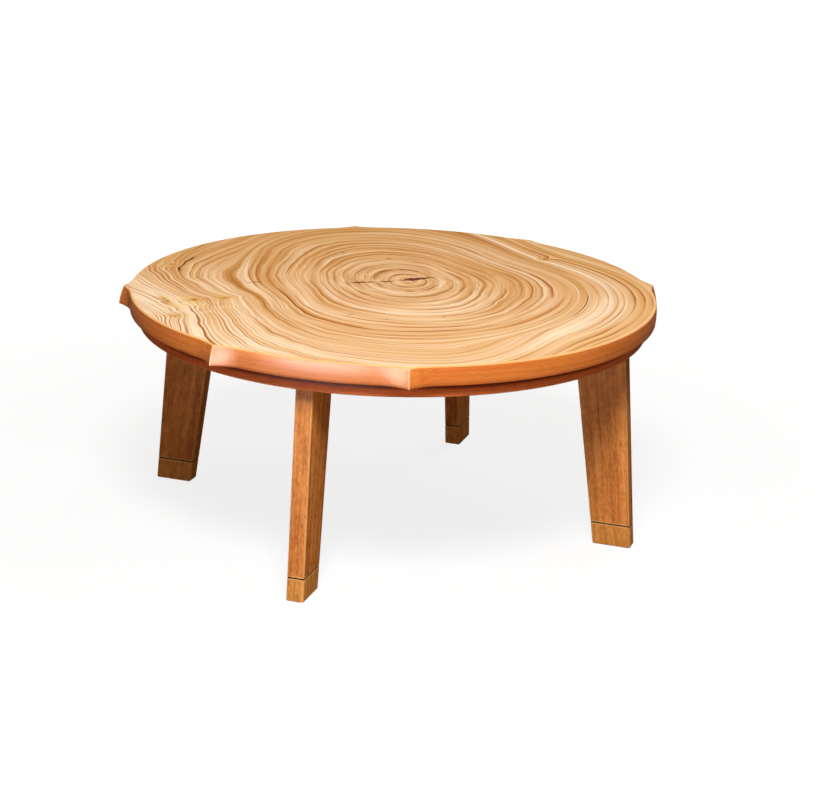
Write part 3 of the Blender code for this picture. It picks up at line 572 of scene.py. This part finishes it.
coil_wire, shader, place = new_finish("coil_wire", {"Metallic": 1.0})
scale = place.noise(900, 2)
feed(
    shader, scale, 0.00005, base_color=scale.blend(srgb(96, 74, 62), srgb(150, 116, 96)),
    roughness=scale * 0.3 + 0.35)
tube_length = tube_line(np.ones(1))[1]
turns = (tube_length - COIL_BARE) / COIL_PITCH
share = np.linspace(COIL_START, 1 - COIL_START, int(turns * COIL_STEPS))
middle = tube_line(share)[0]
ahead = unit(np.gradient(middle, axis=0))
beside = np.cross(ahead, (0, 0, 1))
angle = (share * turns * 2 * np.pi)[:, None]
coil_line = middle + COIL_RADIUS * (np.cos(angle) * beside + np.sin(angle) * np.array((0, 0, 1)))
coil_points = wire(coil_line, COIL_WIRE, ahead, 5)
make_piece("coil", [coil_points], coil_wire, "frame")

ceramic, shader, place = new_finish("ceramic_bisque", {"Specular IOR Level": 0.3})
bisque = place.noise(700, 4)
scorch = place.noise(60, 2)
feed(
    shader, bisque, 0.00015,
    base_color=scorch.between(0.35, 0.75).blend(srgb(236, 231, 219), srgb(212, 201, 180)),
    roughness=bisque * 0.25 + 0.55)
paint(ceramic, "tube_holder_right", "tube_holder_left", "tube_clip", "thermal_cutout")


# Fan: a small shaded motor hung under the reflector, and a pressed aluminium wheel of five twisted blades
# on its shaft, which stirs the warm air down through the guard.

MOTOR_RADIUS = 0.022
FAN_RADIUS = 0.055
HUB_RADIUS = 0.013
BLADES = 5
motor_low, motor_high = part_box("fan_motor")[0].z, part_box("fan_motor")[1].z
fan_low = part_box("fan_wheel")[0].z
HUB_HIGH = 0.3216

enamel, shader, place = new_finish("motor_enamel", {"Coat Weight": 0.3, "Coat Roughness": 0.3})
orange_peel = place.noise(900, 2)
feed(
    shader, orange_peel, 0.00008, base_color=place.noise(120, 3).blend(srgb(52, 54, 58), srgb(74, 76, 80)),
    roughness=orange_peel * 0.2 + 0.38)
motor_profile = [
    (0, motor_high), (0.0200, motor_high), (0.0215, motor_high - 0.0006), (MOTOR_RADIUS, motor_high - 0.0020),
    (MOTOR_RADIUS, motor_high - 0.0090), (0.0212, motor_high - 0.0094), (0.0212, motor_high - 0.0106),
    (MOTOR_RADIUS, motor_high - 0.0110), (MOTOR_RADIUS, motor_low + 0.0036), (0.0213, motor_low + 0.0020),
    (0.0196, motor_low + 0.0014), (0.0090, motor_low + 0.0014), (0.0084, motor_low), (0.0030, motor_low),
    (0.0030, motor_low + 0.004), (0, motor_low + 0.004)]
make_piece("motor", [turned(motor_profile, 64)], enamel, "frame", ["fan_motor"])

pressed, shader, place = new_finish("pressed_aluminium", {"Metallic": 1.0})
rolled = place.stretch(40, 700, 700).noise(1, 3)
feed(
    shader, rolled, 0.00006, base_color=rolled.blend(srgb(168, 171, 175), srgb(206, 208, 210)),
    roughness=rolled * 0.2 + 0.24)


def fan_blade(bearing):
    """A blade: flat rounded sections carried out from the hub, each turned to a pitch that eases off and
    cambered along a parabola, the last ones narrowing to a round tip."""
    out = np.linspace(0, 1, 17)[:, None]
    radius = HUB_RADIUS - 0.002 + (FAN_RADIUS - HUB_RADIUS + 0.0014) * out
    chord = (0.017 + 0.006 * np.sin(np.pi * out)) * np.sqrt(1 - np.clip((out - 0.72) / 0.30, 0, 1) ** 2.5)
    x, y = rounded_rectangle(chord, 0.0011, 0.0004, 4)
    y = y + 0.12 * chord * (1 - (2 * x / chord) ** 2) - 0.06 * chord
    pitch = np.radians(37 - 14 * out)
    side = x * np.cos(pitch) - y * np.sin(pitch)
    lift = x * np.sin(pitch) + y * np.cos(pitch)
    turn = math.radians(bearing)
    blade_x = radius * math.cos(turn) - side * math.sin(turn)
    blade_y = radius * math.sin(turn) + side * math.cos(turn)
    return vectors(blade_x, blade_y, (HUB_HIGH + fan_low) / 2 + lift)


hub_profile = [
    (0, HUB_HIGH), (0.0108, HUB_HIGH), (0.0124, HUB_HIGH - 0.0006), (HUB_RADIUS, HUB_HIGH - 0.0020),
    (HUB_RADIUS, fan_low + 0.0040), (0.0120, fan_low + 0.0016), (0.0098, fan_low + 0.0004), (0.0070, fan_low),
    (0.0034, fan_low), (0.0026, fan_low + 0.0014), (0, fan_low + 0.0014)]
shaft_profile = [
    (0, motor_low + 0.012), (0.002, motor_low + 0.012), (0.002, HUB_HIGH - 0.002), (0, HUB_HIGH - 0.002)]
wheel_shells = [turned(hub_profile, 40), turned(shaft_profile, 16)]
wheel_shells += [fan_blade(360 * number / BLADES) for number in range(BLADES)]
make_piece("wheel", wheel_shells, pressed, "fan", ["fan_wheel"])


# Guard and inlet: a black-painted pressed basket frame under the reflector's flange, with a grille of
# welded wires across its mouth, four screws up through all three flanges into the bars, and a moulded
# socket on its flange for the heater's lead.

GRILLE_HALF = 0.118
WIRE_RADIUS = 0.0011
LONG_WIRES = 17
CROSS_WIRES = 5
WIRE_MARGIN = 0.006
WELD_DROP = 1.8 * WIRE_RADIUS
GRILLE_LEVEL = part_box("guard_grille")[1].z - WIRE_RADIUS

black, shader, place = new_finish("guard_paint", {"Coat Weight": 0.25, "Coat Roughness": 0.35})
sag = place.noise(420, 3, 0.6)
haze = place.noise(26, 3)
chips = place.noise(130, 4, 0.7).between(0.66, 0.70)
paint_tone = (sag * 0.5 + haze * 0.6).between(0.36, 0.74).blend(srgb(24, 24, 26), srgb(48, 47, 47))
feed(
    shader, sag * 0.6 - chips, 0.00025, base_color=(chips * 0.6).blend(paint_tone, srgb(104, 100, 96)),
    roughness=sag * 0.24 + haze * 0.16 + 0.26)
paint(black, "heater_guard")


def straight_wire(offset, level, crosswise):
    """A straight wire at an offset from the grille's middle, with rounded ends."""
    share = np.concatenate(((0, 0.002, 0.006), np.linspace(0.02, 0.98, 9), (0.994, 0.998, 1)))
    radius = WIRE_RADIUS * np.clip(np.minimum(share, 1 - share) / 0.006, 0.15, 1) ** 0.5
    along = GRILLE_HALF * (2 * share - 1)
    line = vectors(offset, along, level)
    return wire(line[:, (1, 0, 2)] if crosswise else line, radius, (0, 0, 1), 10)


def wire_offsets(count):
    """Even offsets for a count of wires across the grille."""
    return np.linspace(-GRILLE_HALF + WIRE_MARGIN, GRILLE_HALF - WIRE_MARGIN, count)


grille_wires = [straight_wire(offset, GRILLE_LEVEL, False) for offset in wire_offsets(LONG_WIRES)]
grille_wires += [
    straight_wire(offset, GRILLE_LEVEL - WELD_DROP, True) for offset in wire_offsets(CROSS_WIRES)]
make_piece("wire_grille", grille_wires, black, "frame", ["guard_grille"])

SCREW_HEAD = 0.0045
SCREW_HEAD_HEIGHT = 0.0022
SCREW_RECESS = 0.0011
RECESS_HALF_WIDTH = 0.00055
RECESS_REACH = 0.0026
SHANK_RADIUS = 0.002
SHANK_LENGTH = 0.004


def pan_head(low, high):
    """A screw head seen from below, as a height on rings of points: a flattened dome, sunk along a cross."""
    share = np.linspace(0, 1, 25)[:, None]
    bearing = np.arange(72) * 5.0
    radius = SCREW_HEAD * share
    x, y, _ = np.moveaxis(around(radius, bearing, 0.0), -1, 0)
    dome = (high - low) * (1 - 0.45 * share ** 2 - 0.55 * share ** 8)
    away = np.abs((x, y))
    near_arm, reach = away.min(0) / RECESS_HALF_WIDTH, away.max(0) / RECESS_REACH
    sunk = np.clip(1.4 - near_arm, 0, 1) * np.clip((1.1 - reach) * 6, 0, 1)
    bottom = high - dome + SCREW_RECESS * sunk
    skin = vectors(x, y, bottom)
    shank_radius = np.array((SCREW_HEAD, SHANK_RADIUS, SHANK_RADIUS, 0.0))[:, None]
    shank_level = high + np.array((0, 0, SHANK_LENGTH, SHANK_LENGTH))[:, None]
    return np.concatenate((skin, around(shank_radius, bearing, shank_level)))


for number in range(1, 5):
    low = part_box(f"heater_screw_{number}")[0].z
    head_points = pan_head(low, low + SCREW_HEAD_HEIGHT) + seat_of(f"heater_screw_{number}")
    make_piece(
        f"pan_screw_{number}", [head_points], zinc, "frame", [f"heater_screw_{number}"],
        sharp=28)

plastic, shader, place = new_finish("inlet_plastic", {"Specular IOR Level": 0.4})
spark = place.noise(1400, 2)
feed(
    shader, spark, 0.00012, base_color=place.noise(90, 3).blend(srgb(26, 26, 28), srgb(40, 40, 42)),
    roughness=spark * 0.2 + 0.42)
paint(plastic, "inlet_socket")


# Board under the top: a particle-board core that the rails and the veneer are glued to, and a short brown
# felt glued to its underside, which lies on the rest pads.

felt, shader, place = new_finish(
    "backing_felt", {"Sheen Weight": 0.4, "Sheen Roughness": 0.6, "Specular IOR Level": 0.2})
nap = place.noise(1300, 3, 0.7)
tuft = place.stretch(160, 520, 300).noise(1, 3, 0.7)
pressed_nap = place.noise(9, 3, 0.6)
felt_tone = (nap * 0.5 + tuft * 0.7 + pressed_nap * 0.6).between(0.66, 1.14)
feed(
    shader, nap * 0.6 + tuft * 0.6, 0.0006, base_color=felt_tone.blend(srgb(72, 54, 36), srgb(150, 124, 92)),
    roughness=nap * 0.1 + 0.86)
paint(felt, "top_backing")

board, shader, place = new_finish("core_board", {"Specular IOR Level": 0.3})
flake = place.node("ShaderNodeTexVoronoi", {}, {"Vector": place.stretch(1, 1, 3), "Scale": 420.0}, 1).part(0)
feed(
    shader, flake, 0.0003, base_color=flake.blend(srgb(150, 118, 80), srgb(214, 186, 146)),
    roughness=flake * 0.15 + 0.75)
paint(board, "top_core")


# Edge rails: six lengths of solid hardwood lipping, shaped round and lightly crowned, flaring out to a
# point at each mitre. Their upper arris and the points are rubbed back to pale wood, which also stands in
# as a painted highlight on those edges; the rest is stained orange-brown under satin lacquer, darker along
# the lower edge, partly pooled stain and partly painted shade.

LOBE_RADIUS = 0.4315
POINTS = (-16.8, 30.2, 73.7, 157.4, 206.8, 247.2)
POINT_RISE_UPPER = 0.011
POINT_RISE_LOWER = 0.0185
FLARE = math.degrees(0.045 / LOBE_RADIUS)
RAIL_INNER = 0.3995
RAIL_CROWN = 0.0009
RAIL_LOW_ROUNDING = 0.0012
RAIL_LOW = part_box("edge_rail_1")[0].z
TOP_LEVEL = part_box("top_veneer")[1].z
ARRIS_HEIGHT = 0.0030
ARRIS_WIDTH = 0.0026
VENEER_SEAM = 0.0036
VENEER_THICKNESS = 0.0012
GLUE_GAP = 0.00005
MITRE_GAP = 0.002


def from_point(bearing):
    """Degrees from each bearing to the nearest point of the top."""
    return np.abs((bearing[..., None] - np.array(POINTS) + 180) % 360 - 180).min(-1)


def outline(bearing, rise):
    """Radius of the top: a round lobe that flares out to a point, by the square of nearness to it."""
    return LOBE_RADIUS + rise * np.clip(1 - from_point(bearing) / FLARE, 0, 1) ** 2


def lobe_bearings(start, end):
    """Bearings along one lobe, close together near its two points."""
    near = FLARE * np.array((0.0, 0.015, 0.042, 0.09, 0.16, 0.25, 0.35, 0.46, 0.58, 0.72, 0.86))
    middle = np.linspace(start + FLARE, end - FLARE, int((end - start - 2 * FLARE) / 0.8) + 2)
    return np.concatenate((start + near, middle, (end - near)[::-1]))


def rail_section(bearing):
    """A rail's closed sections at bearings, from its lower outer edge up the crowned face, over the arris,
    down to the veneer's seat and round the inside. Gives points, grain and how far each is rubbed pale and
    painted as highlit."""
    lower, upper = outline(bearing, POINT_RISE_LOWER)[:, None], outline(bearing, POINT_RISE_UPPER)[:, None]
    ease = np.linspace(0, np.pi / 2, 6)
    climb = np.linspace(0, 1, 9)[1:-1]
    face_low, face_high = RAIL_LOW + RAIL_LOW_ROUNDING, TOP_LEVEL - ARRIS_HEIGHT
    share = np.concatenate((np.zeros(6), climb, np.ones(6), (1, 1)))
    inset = np.concatenate((
        RAIL_LOW_ROUNDING * (1 - np.sin(ease)), -RAIL_CROWN * 4 * climb * (1 - climb),
        ARRIS_WIDTH * (1 - np.cos(ease)), (VENEER_SEAM, VENEER_SEAM)))
    seat = TOP_LEVEL - VENEER_THICKNESS - GLUE_GAP
    level = np.concatenate((
        RAIL_LOW + RAIL_LOW_ROUNDING * (1 - np.cos(ease)), face_low + (face_high - face_low) * climb,
        face_high + ARRIS_HEIGHT * np.sin(ease), (TOP_LEVEL, seat)))
    radius = lower + (upper - lower) * share - inset
    radius = np.concatenate((radius, np.full((len(bearing), 2), RAIL_INNER)), 1)
    level = np.concatenate((level, (seat, RAIL_LOW)))
    points = around(radius, bearing[:, None], level)
    along = LOBE_RADIUS * np.radians(bearing)[:, None]
    grain = vectors(level - RAIL_LOW, radius - LOBE_RADIUS, along)
    pale = np.concatenate((np.zeros(14), (0.5, 0.85, 1, 1, 1, 1, 1), np.zeros(2)))
    near_point = np.radians(from_point(bearing))[:, None] * LOBE_RADIUS
    at_point = np.clip((0.0019 - near_point) / 0.0012, 0, 1) * np.concatenate((np.ones(21), np.zeros(2)))
    return points, grain, np.maximum(np.broadcast_to(pale, at_point.shape), at_point)


rail_lacquer, shader, _ = new_finish(
    "rail_lacquer", {"Specular IOR Level": 0.0, "Coat Weight": 0.1, "Coat Roughness": 0.36})
along_rail = mark_on(shader, "grain")
rail_colour = timber(
    shader, along_rail, srgb(240, 147, 70), srgb(216, 115, 46), srgb(190, 92, 33), ring=0.005,
    roughness=0.45, bump=0.0001)
# Darker along the lower edge: pooled stain, and also painted shade under the rounding.
pooled_stain_and_shade = 1 - along_rail.part(0).between(0.0005, 0.0065)
rail_colour = (pooled_stain_and_shade * 0.55).blend(rail_colour, srgb(176, 76, 28))
pale_wood = along_rail.stretch(300, 300, 20).noise(1, 3).blend(srgb(236, 172, 106), srgb(246, 198, 140))
# Pale on the upper arris and the points: rubbed-back wood, and also a painted highlight on those edges.
recolour(shader, mark_on(shader, "rubbed_and_highlit", "Fac").between(0.2, 0.9).blend(rail_colour, pale_wood))
for number, start in enumerate(POINTS):
    end = (POINTS + (POINTS[0] + 360,))[number + 1]
    rail_bearings = lobe_bearings(start, end)
    rail_bearings[[0, -1]] += (MITRE_GAP, -MITRE_GAP)
    rail_points, rail_grain, rail_rubbed_and_highlit = rail_section(rail_bearings)
    rail_grain[..., 1] += number * 0.13
    make_piece(
        f"rail_{number + 1}", [rail_points], rail_lacquer, "top", [f"edge_rail_{number + 1}"],
        {"grain": rail_grain, "rubbed_and_highlit": rail_rubbed_and_highlit})


# Veneer: a thin slice sawn across a whole log, glued over the core and the rails, sanded and lacquered.
# Its rings run round an off-centre pith with a drying crack, stretched one way and pinched by two folds of
# the bark; the sapwood near the edge is paler, and small burrs sit in one fold.

PITH = (0.0447, 0.0364)
RING_REACH = 0.3
CREASE_RISE = 0.12
SPLIT_WIDTH = 0.006


def eased(values, low, high):
    """0 up to low and 1 from high, eased between them."""
    share = np.clip((values - low) / (high - low), 0, 1)
    return share * share * (3 - 2 * share)


def ring_index(x, y):
    """Distance from the pith along the rings' own shape: an ellipse that turns lopsided and three-sided
    further out, plus two folds where the rings run inward, each a bell over the bearing, and a crease that
    presses the outer rings together all round but for the burred side."""
    radius = np.hypot(x - PITH[0], y - PITH[1])
    bearing = np.arctan2(y - PITH[1], x - PITH[0])
    reach = radius / RING_REACH
    lean = 0.0368 * np.cos(3 * bearing - math.radians(129.3)) + 0.1117 * np.cos(bearing - math.radians(212.4))
    index = radius * (1 + 0.1584 * np.cos(2 * bearing + math.radians(51.6)) + reach * lean)
    for fold, depth, width, growth in ((183.3, 0.0965, 0.341, 3.53), (15.2, 0.1993, 0.631, 1.525)):
        turn = (bearing - math.radians(fold) + np.pi) % (2 * np.pi) - np.pi
        index = index + depth * reach ** growth / (1 + (turn / width) ** 2)
    degrees = np.degrees(bearing) % 360
    burred_side = eased(degrees, 112, 155) * (1 - eased(degrees, 250, 285))
    return index + CREASE_RISE * eased(index, 0.355, 0.405) * (1 - burred_side)


def towards(centre, edge, share):
    """Points on straight lines from a centre to an edge, at shares of the way."""
    return centre + share[:, None, None] * (edge - centre)


slice_bearings = np.concatenate([
    lobe_bearings(start, end)[:-1] for start, end in zip(POINTS, POINTS[1:] + (POINTS[0] + 360,))])
slice_radius = outline(slice_bearings, POINT_RISE_UPPER) - VENEER_SEAM - GLUE_GAP
slice_edge = around(slice_radius, slice_bearings, TOP_LEVEL)
slice_middle = np.array((*PITH, TOP_LEVEL))
slice_top = towards(slice_middle, slice_edge, np.linspace(0, 1, 161))
slice_points = np.concatenate((slice_top, slice_top[[-1, 0]] - np.array((0, 0, VENEER_THICKNESS))))
slice_turn = np.arctan2(slice_edge[:, 1] - PITH[1], slice_edge[:, 0] - PITH[0])
slice_rings = vectors(
    np.cos(slice_turn), np.sin(slice_turn), ring_index(slice_points[..., 0], slice_points[..., 1]))

log_slice, shader, place = new_finish(
    "log_slice", {"Specular IOR Level": 0.0, "Coat Weight": 0.06, "Coat Roughness": 0.35})
across, along = place.part(0), place.part(1)


def oval(middle_x, middle_y, half_x, half_y):
    """Distance from a spot on the slice, 1 on an oval round it with these half sizes."""
    x, y = (across - middle_x) / half_x, (along - middle_y) / half_y
    return (x * x + y * y) ** 0.5


# Where the rings lie: the mesh's own ring index, which wanders, swirls at the burrs and parts round eyes.
marked = mark_on(shader, "rings")
burr = 1 - oval(-0.345, 0.02, 0.10, 0.085).between(0.2, 1.0)
fold = 1 - across.between(-0.34, -0.10)
calm = 1 - marked.part(2).between(0.22, 0.38) * (1 - fold) * 0.7
wander = ((place.noise(5, 0) - 0.5) * 0.055 + (place.noise(20, 1) - 0.5) * 0.013) * calm
wander = wander + (place.noise(16, 1) - 0.5) * fold * 0.045
swirl = (place.noise(34, 2) - 0.5) * burr * 0.07
eyes = [oval(*spot) for spot in (
    (-0.3346, 0.0470, 0.016, 0.013), (-0.2820, 0.0413, 0.018, 0.014), (-0.3913, -0.0303, 0.014, 0.013),
    (-0.2860, 0.2713, 0.012, 0.011), (-0.374, 0.058, 0.006, 0.040), (0.3361, 0.0859, 0.012, 0.010))]
for eye in eyes:
    swirl = swirl + (1 - eye.between(0.0, 2.6)) * 0.026
index = marked.part(2) + wander * marked.part(2).between(0.0, 0.14) + swirl
ringwise = marked.node("ShaderNodeCombineXYZ", {}, {0: marked.part(0), 1: marked.part(1), 2: index})


def ripple(length, pitch, detail=2):
    """Noise drawn out round the rings: its length in radians round the pith, its pitch in metres across."""
    return ringwise.stretch(1 / length, 1 / length, 1 / pitch).noise(1, detail)


def seasons(count, slip):
    """Growth rings, count to a metre of index, their years made uneven by a slip: how late in its year each
    point is, from 0 to 1, and how strong that year's ring is by chance."""
    years = index * count + index.line_noise(count / 3) * slip
    chance = years.node("ShaderNodeTexWhiteNoise", {"noise_dimensions": "1D"}, {"W": years.math("FLOOR")})
    return years.math("FRACT"), chance


# Rings: a dark line closes each year, with golden wood before it and pale wood after it; fine threads run
# between. They fade in patches, where the folds press them together, and towards one side.
broken = ripple(0.7, 0.05).between(0.40, 0.62)
year, vigour = seasons(48, 1.8)
sapwood = index.between(0.42, 0.50) * across.between(0.05, 0.20)
strength = (vigour * 0.9 + 0.2) * (broken + 0.15)
strength = strength * (index.between(0.14, 0.26) * 0.3 + fold * 0.6 + sapwood * 0.3 + 0.95)
pinched = index.within(0.34, 0.37, 0.50, 0.54) * across.between(-0.20, -0.05)
strength = strength * (1 - pinched * 0.4)
strength = strength * (1 - (1 - along.between(-0.36, -0.20)) * (1 - across.between(0.05, 0.20)) * 0.5)
close = 1 - year.between(0.88, 1.0)
heart = 1 - index.between(0.09, 0.20)
line = (year ** 6 * close * strength * (heart * 0.6 + 1.5)).math("MINIMUM", 1.0)
flank = (year ** 2.5 * close * strength * (0.9 - heart * 0.5)).math("MINIMUM", 1.0)
glint = (1 - year) ** 3 * year.between(0.0, 0.12) * vigour * (broken * 0.7 + 0.3)
spell, hardship = seasons(150, 2.2)
thread = spell ** 4 * (1 - spell.between(0.8, 1.0)) * 1.5 * hardship
thread = thread * (ripple(0.5, 0.02).between(0.36, 0.62) * 0.7 + 0.3) * (fold * 0.3 + 1)
thread = thread * (1 - index.between(0.12, 0.26) * 0.35) * (1 - pinched * 0.6)

# Tone between the lines, dark to pale: broad bands, narrower bands and fine ones, calmer by the pith.
depth = index.between(0.02, 0.08) * 0.4 + 0.6
front = 1 - along.between(-0.34, 0.02)
broad = (ripple(2.2, 0.034) - 0.5) * 2.0 * (index.between(0.10, 0.28) * 0.7 + 0.3) * (1 - front * 0.5)
fine = (ripple(0.8, 0.0044) - 0.5) * 0.9 + (ripple(0.3, 0.0016, 1) - 0.5) * 0.55
tone = broad + (ripple(1.3, 0.0125) - 0.5) * 1.2 + fine * (1 - pinched * 0.4)
tone = tone * depth + 0.585
# Paler towards the front, as painted light, and darker towards the back, as painted shade.
tone = tone + front * (along.between(-0.42, -0.26) * 0.10 + 0.03) - along.between(0.16, 0.42) * 0.10
tone = tone + index.within(0.37, 0.40, 0.42, 0.46) * 0.04 + (1 - across.between(-0.42, -0.29)) * 0.70
tone = tone + index.within(0.515, 0.545, 0.575, 0.63) * across.between(-0.02, 0.12) * 0.22
wood = tone.node("ShaderNodeValToRGB", {"stops": (
    (0.0, srgb(172, 108, 42)), (1.0, srgb(250, 225, 190)), (0.32, srgb(206, 152, 90)),
    (0.58, srgb(226, 182, 132)), (0.80, srgb(240, 203, 160)))}, {0: tone})
golden = index.between(0.57, 0.64) * across.between(-0.02, 0.12) * 0.5
wood = golden.blend(wood, srgb(218, 164, 88))
wood = (place.noise(5, 2).between(0.46, 0.64) * 0.2).blend(wood, srgb(212, 150, 82))
# More golden towards the back and the right: the wood's tone, and also painted shade where the light falls
# off.
wood = (along.between(0.06, 0.38) * (0.4 - across.between(0.05, 0.25) * 0.25)).blend(wood, srgb(216, 160, 84))
wood = (across.between(0.08, 0.22) * (1 - index.between(0.45, 0.51)) * 0.35).blend(wood, srgb(212, 154, 86))
wood = (glint * 0.5).blend(wood, srgb(252, 218, 174))
wood = flank.blend(wood, srgb(205, 139, 60))
wood = (thread * 0.95).math("MINIMUM", 1.0).blend(wood, srgb(168, 92, 24))
wood = (line * 0.9).blend(wood, srgb(148, 74, 14))
wood = (burr * place.noise(45, 3).between(0.45, 0.62) * 0.6).blend(wood, srgb(240, 206, 146))
for eye in eyes:
    wood = ((1 - eye.between(0.5, 1.7)) * 0.55).blend(wood, srgb(222, 172, 92))
    slit = (1 - eye.between(0.2, 0.8)) * place.noise(130, 2).between(0.36, 0.58)
    wood = (slit * 0.8).blend(wood, srgb(150, 92, 26))

# Pin knots, then the drying crack through the pith and two splits between rings.
for spot in (
        (-0.0920, -0.1625, 0.0045, 0.0040), (0.0003, -0.1815, 0.0035, 0.0030),
        (-0.1322, -0.1183, 0.0070, 0.0030), (0.0776, 0.1817, 0.0050, 0.0060),
        (0.0212, 0.2484, 0.0040, 0.0070), (-0.1996, 0.1139, 0.0160, 0.0045)):
    pin = (1 - oval(*spot).between(0.3, 1.2)) * place.noise(240, 2).between(0.34, 0.56)
    wood = (pin * 0.75).blend(wood, srgb(120, 70, 26))
jitter = (place.stretch(1, 0, 0).noise(130, 3) - 0.5) * 0.005
check_middle = 0.0413 + 0.0143 * (1 - across.between(-0.052, 0.022)) + jitter
check_width = 0.0007 + 0.0030 * across.within(-0.054, -0.044, -0.020, -0.010)
check_width = check_width + 0.0030 * across.within(-0.004, 0.002, 0.012, 0.020)
check_width = check_width + 0.0100 * across.within(0.034, 0.052, 0.050, 0.104)
check_width = check_width * (place.noise(170, 3) * 1.5 + 0.25)
check = 1 - (abs(along - check_middle) / check_width).between(0.6, 1.1)
cracks = check * across.within(-0.060, -0.050, 0.095, 0.108)
for at, spot in ((0.560, (-0.262, 0.262, 0.050, 0.070)), (0.500, (0.238, -0.200, 0.075, 0.100))):
    near = (abs(index - at) / SPLIT_WIDTH).between(0.4, 1.0)
    cracks = cracks + (1 - near) * (1 - oval(*spot).between(0.6, 1.0))
cracks = cracks.math("MINIMUM", 1.0)
pores = place.noise(1600, 1).between(0.62, 0.75)
wood = (pores * 0.2).blend(wood, srgb(160, 104, 52))
wood = (cracks * 0.96).blend(wood, srgb(104, 44, 10))
feed(
    shader, tone * 0.3 - line * 0.4 - pores * 0.4 - cracks * 1.2, 0.0001, base_color=wood,
    roughness=0.46 - tone * 0.08 + pores * 0.2 + cracks * 0.3)
make_piece(
    "log_slice_veneer", [slice_points], log_slice, "top", ["top_veneer"],
    {"rings": slice_rings})


# Studio: a white floor that keeps a soft shadow, surroundings that look white and light the wood warmly, a
# soft key light in front and above, a weaker one behind, a low warm light in front, and a card at the front
# left that shows only in the gloss. The camera stands where the photograph was taken from.

def surroundings_seen(tree):
    """1 for rays that show the background: straight from the camera, or off metal and through glass."""
    path = tree.nodes.new("ShaderNodeLightPath")
    seen = Shade(path.outputs["Is Camera Ray"]) + Shade(path.outputs["Is Glossy Ray"])
    return (seen + Shade(path.outputs["Is Transmission Ray"])).math("MINIMUM", 1.0)


WARM_LIGHT = (1.0, 0.74, 0.54, 1.0)
AMBIENT = 0.15
world = bpy.data.worlds.new("studio")
bpy.context.scene.world = world
world.use_nodes = True
tree = world.node_tree
background = tree.nodes["Background"]
seen = surroundings_seen(tree)
sky = seen.blend(WARM_LIGHT, (1.0, 1.0, 1.0, 1.0))
tree.links.new(sky.socket, background.inputs["Color"])
tree.links.new((seen * (1 - AMBIENT) + AMBIENT).socket, background.inputs["Strength"])

FLOOR_SIZE = 60.0
FLOOR_GREY = 0.18
FLOOR_GLOW = 0.83
floor_mesh = bpy.data.meshes.new("floor")
floor_corners = np.array(((-1, -1, 0), (1, -1, 0), (1, 1, 0), (-1, 1, 0))) * FLOOR_SIZE / 2
floor_mesh.from_pydata(floor_corners.tolist(), [], [(0, 1, 2, 3)])
floor = add_object("floor", floor_mesh)
paper, shader, place = new_finish("floor_paper", {})
tree = paper.node_tree
tree.nodes.remove(shader)
far = place.node("ShaderNodeVectorMath", {"operation": "LENGTH"}, {0: place}).between(0.6, 2.2)
shine = surroundings_seen(tree) * (far * (1 - FLOOR_GLOW) + FLOOR_GLOW)
diffuse = shine.node("ShaderNodeBsdfDiffuse", {}, {"Color": (FLOOR_GREY, FLOOR_GREY, FLOOR_GREY, 1.0)})
glow = shine.node("ShaderNodeEmission", {}, {"Strength": shine})
both = shine.node("ShaderNodeAddShader", {}, {0: diffuse, 1: glow})
tree.links.new(both.socket, tree.nodes["Material Output"].inputs["Surface"])
floor_mesh.materials.append(paper)


def stand_off(made, aim, bearing, elevation, distance, roll=0.0):
    """Stand a light or a camera at a distance from its aim, by bearing, elevation and roll in degrees."""
    turn, lift = math.radians(bearing), math.radians(elevation)
    away = Vector((math.cos(turn) * math.cos(lift), math.sin(turn) * math.cos(lift), math.sin(lift)))
    facing = away.to_track_quat("Z", "Y").to_matrix() @ Matrix.Rotation(math.radians(roll), 3, "Z")
    made.matrix_world = Matrix.Translation(Vector(aim) + away * distance) @ facing.to_4x4()


def soft_light(name, aim, bearing, elevation, distance, size, power):
    """A square area light that stands off from its aim."""
    lamp = bpy.data.lights.new(name, "AREA")
    lamp.size = size
    lamp.energy = power
    light = add_object(name, lamp)
    stand_off(light, aim, bearing, elevation, distance)
    light.visible_camera = False
    return light


BOUNCE_COLOUR = (1.0, 0.72, 0.50)
soft_light("key", (0, 0, 0.3), 244, 50, 3.2, 0.9, 105)
soft_light("behind", (0, 0, 0.3), 30, 50, 3.2, 1.2, 20)
bounce = soft_light("bounce", (0, 0, 0.25), 240, 2, 1.6, 0.5, 2.9)
bounce.data.color = BOUNCE_COLOUR
card = soft_light("gloss_card", (-0.28, -0.33, 0.37), 216, -10, 1.5, 1.3, 820)
card.visible_diffuse = False

CAMERA_BEARING = -116.655
CAMERA_ELEVATION = 18.145
CAMERA_ROLL = 1.776
CAMERA_DISTANCE = 3.4467
CAMERA_TARGET = (0.0188, -0.0259, 0.2009)
FOCAL_PIXELS = 2064.75
PICTURE_WIDTH = 815
lens = bpy.data.cameras.new("camera")
lens.sensor_width = 36.0
lens.lens = FOCAL_PIXELS * lens.sensor_width / PICTURE_WIDTH
camera = add_object("camera", lens)
stand_off(camera, CAMERA_TARGET, CAMERA_BEARING, CAMERA_ELEVATION, CAMERA_DISTANCE, CAMERA_ROLL)
bpy.context.scene.camera = camera
bpy.context.scene.view_settings.view_transform = "Standard"
